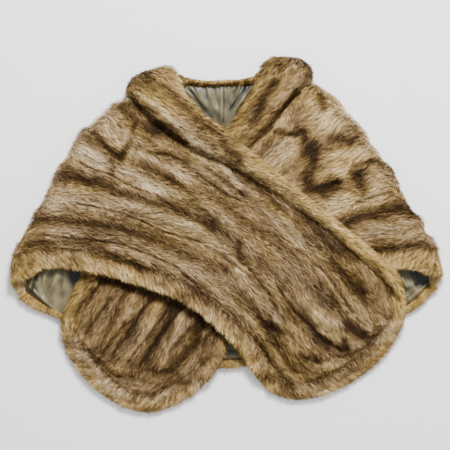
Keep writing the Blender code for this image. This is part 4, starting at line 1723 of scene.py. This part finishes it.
    def hues(self, layer: Layer, middle: float) -> Array:
        """Hue of the fur: cool and golden patches drawn out along the hair."""
        patches = 0.3 * self.field(layer, 4, 70.0, 24.0) + 0.15 * self.field(layer, 5, 25.0, 9.0)
        return np.clip(middle + patches, *HAIR_RANGE)

    def skin(self, layer: Layer, deep: Array, lift: Array | float) -> tuple[Array, Array]:
        """Top and bottom grids of the skin: at the fur's depth, and just above the lining."""
        least = layer.thick - self.lining_room - lift
        return layer.under(np.clip(deep, 0.5, least - self.skin_least)), layer.under(least)

    def dress(
        self, part: Part, coat: Coat, hair: Hair, weight: Array, turn: Array, lift: Array
    ) -> None:
        """Makes a part's skin in place of its solid, and its hair where no layer covers it.

        Args:
            part: Which part it is.
            coat: Its skin.
            hair: How its hair grows.
            weight: How densely hair grows on each cell.
            turn: Degrees by which it turns at each point.
            lift: Degrees by which it stands up more there.
        """
        node = f"{self.name}_{part.value}"
        if self.cover is not None:
            weight = weight * (inside_by(coat.points[:-1, :, :2], self.cover) <= self.hidden_inside)
        shadow = smooth(-3.0 * self.paint(coat.points.reshape(-1, 3))).reshape(coat.tone.shape)
        grower = Grower(coat, hair, self.paint)
        mesh = grower.mesh(f"{node}_hair", weight, turn, 1 - 0.3 * shadow, lift)
        add_sheet(coat.mesh(f"{node}_skin"), SLOTS[part], node, [mesh])

    def build_panel(self, hair: Hair) -> None:
        """Builds the panel of pelts, whose hair stands out more on the side fold.

        Args:
            hair: How its hair grows.
        """
        layer = self.laid(self.front.panel(), PANEL_WIDE)
        lobe, crest = layer.past(6, 2), layer.past(*self.crest_span)
        # Near the border seam on the fold's crest and at the tips the skin rises and the tone is paler:
        # painted light over the shade along the seam
        seam = np.maximum(self.lobe_seam * lobe, crest) * bell(layer.share, 0.09)
        foot = self.collar_foot * bell(1 - layer.share, 0.07) * layer.past(2, 1)
        deep = self.ridge_deep + self.valley_more * pelt_drop(layer.share) + self.relief(layer)
        # The tone is paler where the fur turns over the fold, which the lamps leave in shade: painted light
        painted_rim_light = layer.past(0.45, -0.5) * (1 - 0.75 * layer.past(-0.2, -0.3))
        tones = np.clip(self.panel_tone(layer) + 0.32 * painted_rim_light + 0.12 * seam, 0.03, 0.97)
        rows = self.skin(layer, deep - self.lobe_rise * seam + foot, 0.0)
        coat = Coat.of(*rows, layer.along, layer.across, tones, self.hues(layer, 0.3))
        weight = coat.bare()
        thin = np.interp(layer.place[:-1], (-0.45, -0.3, 0.0), (0, 0.5, 1))
        weight[:, : len(layer.share) - 1] = thin[:, None]
        herring = self.herring * np.sin(2 * np.pi * pelt_row(layer.share)) * (1 - crest)
        down = layer.past(*self.lobe_span) * smooth((1 - layer.share) / 0.3)
        turn = doubled(herring + self.crest_turn * crest) + doubled(down) * coat.turn_towards(hair, self.flow)
        lift = self.crest_lift * crest + np.zeros(turn.shape)
        self.dress(Part.PANEL, coat, hair, weight, turn, lift)

    def build_border(self, hair: Hair) -> None:
        """Builds the hem border, which turns under at its free edge and is more golden there.

        Args:
            hair: How its hair grows.
        """
        start = self.edge_inset / 30.0
        layer = self.laid(self.front.hem(start), self.border_wide)
        wide = np.linalg.norm(layer.outer[:, -1] - layer.outer[:, 0], axis=-1)[:, None]
        off = 1 - rounded(layer.edge + start * wide, EDGE_ROUND)
        # The tone is paler where the border turns over the fold, which the lamps leave in shade: painted
        # light
        lobe, painted_rim_light = layer.past(4, 3), layer.past(0.3, -0.4)
        drop = 0.72 * (1 - EDGE_LEFT) * off * layer.thick + 0.8 * self.fur_deep + 0.5 * self.relief(layer)
        rows = self.skin(layer, drop - self.hem_rise * lobe * layer.share**2, 0.25 * off * layer.thick)
        mottle = 0.10 * self.field(layer, 7, 11.0, 9.0) + 0.09 * self.field(layer, 8, 32.0, 14.0)
        # Painted shade darkens the tone along the seam, except at the tips and where the border turns over
        # the fold
        seam = 0.2 * bell(1 - layer.share, 0.09) * (1 - lobe) * (1 - painted_rim_light)
        blend = lobe * smooth((layer.share - 0.25) / 0.6)
        tones = self.border_tone + mottle * (1 + 0.8 * lobe) - seam + 0.2 * painted_rim_light - 0.08 * lobe - 0.1 * blend
        tones = np.clip(tones, *SKIN_TONES)
        hues = self.hues(layer, 0.9) - 0.3 * layer.share**2 - 0.3 * blend - 0.15 * lobe
        coat = Coat.of(*rows, layer.along, layer.across, tones, np.clip(hues, *SKIN_HUES))
        samples = len(layer.share)
        weight = coat.bare()
        weight[:, : samples - 1] = 1.0
        weight[:, -5:] = 0.7
        weight[layer.place[:-1] < 0.1, -15:] = 1.5
        crest = layer.past(*self.crest_span) * np.ones(samples)
        turn = np.concatenate([0.45 * self.crest_turn * crest, np.full_like(crest, self.inner_turn)], axis=1)
        down = layer.past(*self.lobe_span) * smooth((layer.share - start) / (0.7 - start))
        turn[:, :samples] += down * coat.turn_towards(hair, self.flow)[:, :samples]
        lift = self.crest_lift * doubled(crest)
        self.dress(Part.BORDER, coat, hair, weight, turn, lift)

    def build_collar(self, hair: Hair) -> None:
        """Builds the shawl collar, grey-brown at its seam and golden at its free edge.

        Args:
            hair: How its hair grows.
        """
        layer = self.laid(self.front.shawl(self.edge_inset), self.collar_wide)
        ends = 1 - rounded(layer.edge, EDGE_ROUND)
        arch = 3.5 * ((layer.share - 0.55) / 0.45) ** 2 - 2.4
        deep = 0.8 * self.fur_deep + arch + 0.6 * self.relief(layer)
        top = layer.under(np.clip(deep, 0.8, 0.65 * layer.thick))
        bottom = layer.under(layer.thick * (1 - 0.2 * ends) - 0.6)
        streak = 0.08 * self.field(layer, 15, 14.0, 7.0) + 0.10 * self.field(layer, 16, 48.0, 9.0)
        narrow = layer.past(5, 3)
        # Painted shade darkens the collar's foot by its seam, most where it narrows to a roll, and a painted
        # highlight lightens the top of its roll
        low = (0.05 + 0.22 * narrow) * bell(layer.share, 0.17)
        painted_crown_highlight = 0.09 * bell(layer.share - 0.62, 0.25)
        tones = 2.6 * self.depth + self.collar_tone
        tones = np.clip(tones + streak - low + painted_crown_highlight + 0.11 * narrow, *SKIN_TONES)
        hues = self.hues(layer, 0.4) + 0.45 * layer.share**2 + 0.25 * narrow
        coat = Coat.of(top, bottom, layer.along, layer.across, tones, np.clip(hues, *SKIN_HUES))
        weight, still = coat.bare(), np.zeros(coat.tone.shape)
        weight[:, : len(layer.share) + 2] = 1.0
        self.dress(Part.COLLAR, coat, hair, weight, still, still)

    def build_lining(self) -> None:
        """Builds the satin under the panel and under the inner half of the border."""
        panel, hem = self.front.panel(33), self.front.hem(0.45, 9)
        rows = []
        for depth in (1.2, 0.4):
            outer = hem.under(hem.thick - depth)[: len(panel.place), :-1]
            rows.append(np.concatenate([outer, panel.under(panel.thick - depth)], axis=1))
        rings, around, _ = rows[0].shape
        along, across = np.meshgrid(np.linspace(0, 700, rings), np.linspace(0, 280, around), indexing="ij")
        coat = Coat.of(*rows, along, across, 0.0, 0.0)
        # The lining's tone carries the painted shade of its hollows and the painted highlights of its folds
        coat.tone = satin_tone(coat.points[..., :2], 0.0)
        add_sheet(coat.mesh(f"{self.name}_front_lining"), Slot.SATIN)


def satin_tone(plan: Array, crease: Array | float) -> Array:
    """How light the lining is: painted highlights on its creases and folds, and painted shade in its hollows.
    """
    hollows = sum(furrow.tone * furrow.weight(plan) for furrow in SATIN_FURROWS)
    return np.clip(0.57 + 0.09 * crease + hollows, 0.0, 1.0)


@dataclass
class StoleBack:
    """The back of the stole: pelts fur side down, hem border, satin lining and the fur roll at the neck.

    Attributes:
        back: Its plan.
        right: The right front's plan.
        left: The left front's plan.
        satin_thick: Thickness of the lining's satin in millimetres.
        hidden_inside: How far inside a front's outline hair still grows, in millimetres.
    """

    back: Back
    right: Front
    left: Front
    satin_thick: float = 1.0
    hidden_inside: float = 12.0

    def build(self) -> None:
        """Builds all its parts."""
        self.build_body()
        self.build_border(Hair(15000, 10.5, 0.9, lift=28, way=(0.7, 0.75), tousle=14, seed=400))
        self.build_lining()
        self.build_neck(Hair(7000, 7.0, 0.8, lift=36, way=(0.6, 0.5), tousle=60, seed=420))

    def covered(self, plan: Array) -> Array:
        """How far inside the fronts on top each plan point lies."""
        return np.maximum(inside_by(plan, self.right.outline()), inside_by(plan, self.left.outline()))

    def build_body(self) -> None:
        """Builds the pelts of the back as a skin between the hem border's seam and the neck."""
        rail, top = sampled(BACK_HEM, 120), self.back.top
        seam = rail[:, 2:4] + unit(rail[:, 2:4] - rail[:, 0:2]) * REST_GAP
        columns = np.linspace(max(seam[0, 0], top[0, 0]) + 1, min(seam[-1, 0], top[-1, 0]) - 1, 90)
        plan = between(columns, seam, top, np.linspace(0, 1, 40))
        x, y = plan[..., 0], plan[..., 1]
        wave = 0.35 * drift(90, x, y, 22.0, 60.0)
        tone = 0.52 + 0.1 * np.sin(x / PANEL_WIDE * 2 * np.pi * 4) + 0.1 * drift(91, -y, x, 46.0, 9.0)
        coat = Coat.of(at_height(plan, BACK_THICK), at_height(plan, 0.5 + wave), -y, x, tone, 0.4)
        add_sheet(coat.mesh("back_skin"), Slot.MINK, "back_body")

    def build_border(self, hair: Hair) -> None:
        """Builds the golden border along the back's hem, with hair where no front covers it.

        Args:
            hair: How its hair grows.
        """
        rail = through(BACK_HEM, np.linspace(0.02, len(BACK_HEM) - 1.02, 170))
        share = np.linspace(0, 0.86, 17)
        plan = rail[:, None, 2:4] + (rail[:, 0:2] - rail[:, 2:4])[:, None] * share[None, :, None]
        upper = np.interp(share, *np.array(BORDER_TOP).T) - 3.2 * smooth((share - 0.5) / 0.2)
        lower = np.interp(share, *np.array(BORDER_BASE).T) + 0.5 + 2.0 * smooth((share - 0.6) / 0.26)
        x, y = plan[..., 0], plan[..., 1]
        tone = 0.58 + 0.12 * drift(81, x, y, 10.0, 9.0)
        coat = Coat.of(at_height(plan, upper), at_height(plan, lower), x, y, tone, 0.85)
        weight, still = coat.bare(), np.zeros(coat.tone.shape)
        weight[:, 11 : len(share) + 6] = 1.0
        weight *= self.covered(coat.points[:-1, :, :2]) < self.hidden_inside
        ring = np.arange(len(rail))
        end = np.clip(1 - np.minimum(ring, ring[::-1]) / 18.0, 0, 1)[:, None]
        turn = end * np.where(rail[:, :1] < 0, 80.0, -20.0) + still
        mesh = Grower(coat, hair).mesh("back_hem_hair", weight, turn, 1 + 0.3 * end + still, still)
        add_sheet(coat.mesh("back_hem_skin"), Slot.BORDER, "back_hem_border", [mesh])

    def crease_height(self, plan: Array) -> Array:
        """Height of the lining's creases where no front lies on it: a bell across each, squared off along it.

        Args:
            plan: Plan points.

        Returns:
            The height at each.
        """
        total = np.zeros(plan.shape[:-1])
        for x, y, turn, long, wide, high in CREASES:
            along = plan_angle(turn)
            off = plan - (x, y)
            side = off @ np.array([-along[1], along[0]])
            total += 1.5 * high * np.exp(-((side / wide) ** 2) - (off @ along / (0.5 * long)) ** 4)
        return total * smooth((4.0 - self.covered(plan)) / 8.0)

    def build_lining(self) -> None:
        """Builds the satin lining, level under the fronts and creased where it lies open."""
        rail = sampled(BACK_HEM, 120)
        reach = LINING_END + 0.03 + np.interp(rail[:, 0], (-292, -268, -235, -205), (0.0, 0.17, 0.17, 0.0))
        low = rail[:, 2:4] + (rail[:, 0:2] - rail[:, 2:4]) * reach[:, None]
        inset = (FOLD_RADIUS_HEM + 2.0, FOLD_UNDER + 3.0)
        left, right = self.right.under_line(inset), self.left.under_line(inset)
        top = np.vstack([left, SHOULDER_LEFT[1:], SHOULDER_RIGHT[:-1], right[::-1]])
        columns = np.concatenate([np.linspace(*span) for span in LINING_COLUMNS])
        share = np.concatenate([np.linspace(*span) for span in LINING_SHARES])
        plan = between(columns, low, top, share, 4.0 * (np.abs(columns + 10) < 54))
        crease = self.crease_height(plan)
        height = BACK_THICK + REST_GAP + LINING_THICK + crease
        rows = at_height(plan, height), at_height(plan, height - self.satin_thick)
        # The tone paints highlights on the creases and folds, and shade in the hollows
        coat = Coat.of(*rows, -plan[..., 1], plan[..., 0], satin_tone(plan, crease), 0.0)
        add_sheet(coat.mesh("back_satin"), Slot.SATIN, "back_lining")

    def build_neck(self, hair: Hair) -> None:
        """Builds the narrow roll of dark fur along the neck, whose ends go up to the collar's edges.

        Args:
            hair: How its hair grows.
        """
        line = sampled(NECK_FUR, 70)
        step = np.gradient(line, axis=0)
        across = unit(np.column_stack([-step[:, 1], step[:, 0]]))
        turn = 0.5 * np.pi * np.linspace(-1, 1, 13)
        ring = np.arange(len(line))
        ends = np.minimum(1.0, 0.35 + 0.65 * smooth(np.minimum(ring, ring[::-1]) / 12.0))[:, None]
        half = (0.5 * NECK_ROLL_WIDE - 3.2) * np.sin(turn) * ends
        plan = line[:, None] + across[:, None] * half[..., None]
        upper = 2.5 + (NECK_ROLL_HIGH - 8.0) * np.cos(0.92 * turn) * ends
        along, aside = np.meshgrid(line[:, 0], np.linspace(-10, 10, 13), indexing="ij")
        tone = 0.50 + 0.2 * drift(71, along, aside, 5.0, 5.0)
        hue = 0.75 + 0.25 * drift(72, along, aside, 9.0, 7.0)
        coat = Coat.of(at_height(plan, upper), at_height(plan, 1.5), along, aside, tone, hue)
        weight, still = coat.bare(), np.zeros(coat.tone.shape)
        weight[:, :12] = 1.0
        mesh = Grower(coat, hair).mesh("neck_roll_hair", weight, still, still + 1, still)
        add_sheet(coat.mesh("neck_roll_skin"), Slot.MINK, "back_collar", [mesh])


@dataclass(frozen=True)
class Studio:
    """Pale floor, soft lights and the camera straight above.

    Attributes:
        floor: Half the floor's side in metres.
        lens: Focal length in millimetres.
        sensor: Sensor width in millimetres.
        focus_height: Height in metres at which the photograph's scale holds.
        lights: Name, place, size and power of each light.
    """

    floor: float = 3.0
    lens: float = 150.0
    sensor: float = 36.0
    focus_height: float = 0.024
    lights: tuple[tuple[str, tuple[float, float, float], float, float], ...] = (
        ("key", (0.3, 1.3, 1.75), 0.5, 100.0),
        ("fill", (1.6, -0.8, 1.7), 1.8, 12.0),
    )

    def build(self) -> None:
        """Builds floor, lights and camera."""
        self.lay_floor()
        self.light()
        self.aim()

    def lay_floor(self) -> None:
        """Lays a pale floor at z = 0."""
        nodes = Nodes("studio_floor")
        where = nodes.add("ShaderNodeTexCoord").outputs["Object"]
        grain = nodes.noise(where, (1.0, 1.0, 1.0), 2.0, scale=30.0)
        finish = nodes.finish(nodes.ramp(grain, ((0.0, (0.92,) * 3), (1.0, (0.95,) * 3))), 0.9)
        mesh = bpy.data.meshes.new("floor")
        corners = [(x * self.floor, y * self.floor, 0) for x, y in ((-1, -1), (1, -1), (1, 1), (-1, 1))]
        mesh.from_pydata(corners, [], [(0, 1, 2, 3)])
        mesh.materials.append(finish)
        add_object("floor", mesh)

    def light(self) -> None:
        """Adds the soft lights, square areas that look at the stole, and the pale surroundings."""
        for name, (x, y, z), size, power in self.lights:
            data = bpy.data.lights.new(name, "AREA")
            data.size = size
            data.energy = power
            light = add_object(name, data)
            light.location = (x, y, z)
            light.rotation_euler = (np.arctan2(np.hypot(x, y), z), 0.0, np.arctan2(x, -y))
        world = bpy.data.worlds.new("studio")
        world.use_nodes = True
        world.node_tree.nodes["Background"].inputs["Color"].default_value = (1.0, 1.0, 1.0, 1.0)
        world.node_tree.nodes["Background"].inputs["Strength"].default_value = 0.85
        bpy.context.scene.world = world

    def aim(self) -> None:
        """Sets the camera straight above, so that the photograph's scale holds at the focus height."""
        data = bpy.data.cameras.new("camera")
        data.lens = self.lens
        data.sensor_width = self.sensor
        data.clip_end = 20.0
        half = 0.5 * PHOTO_PIXELS * MM_A_PIXEL * MM
        camera = add_object("camera", data)
        middle = on_plan([PHOTO_MIDDLE])[0] * MM
        camera.location = (*middle, self.focus_height + half * self.lens / (0.5 * self.sensor))
        bpy.context.scene.camera = camera


def main() -> None:
    """Builds the stole piece by piece, and then its studio."""
    logging.basicConfig(level=logging.INFO, format="%(name)s: %(message)s")
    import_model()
    back, right, left = make_plan()
    StoleBack(back, right, left).build()
    StoleFront(
        "left", left, LEFT_FURROWS, right.outline(), depth=-0.04, flow=-122.0, seed=100, blades=52000
    ).build()
    StoleFront("right", right, RIGHT_FURROWS, None, depth=0.0, flow=-52.0, seed=200, blades=65000).build()
    Studio().build()


if __name__ == "__main__":
    main()
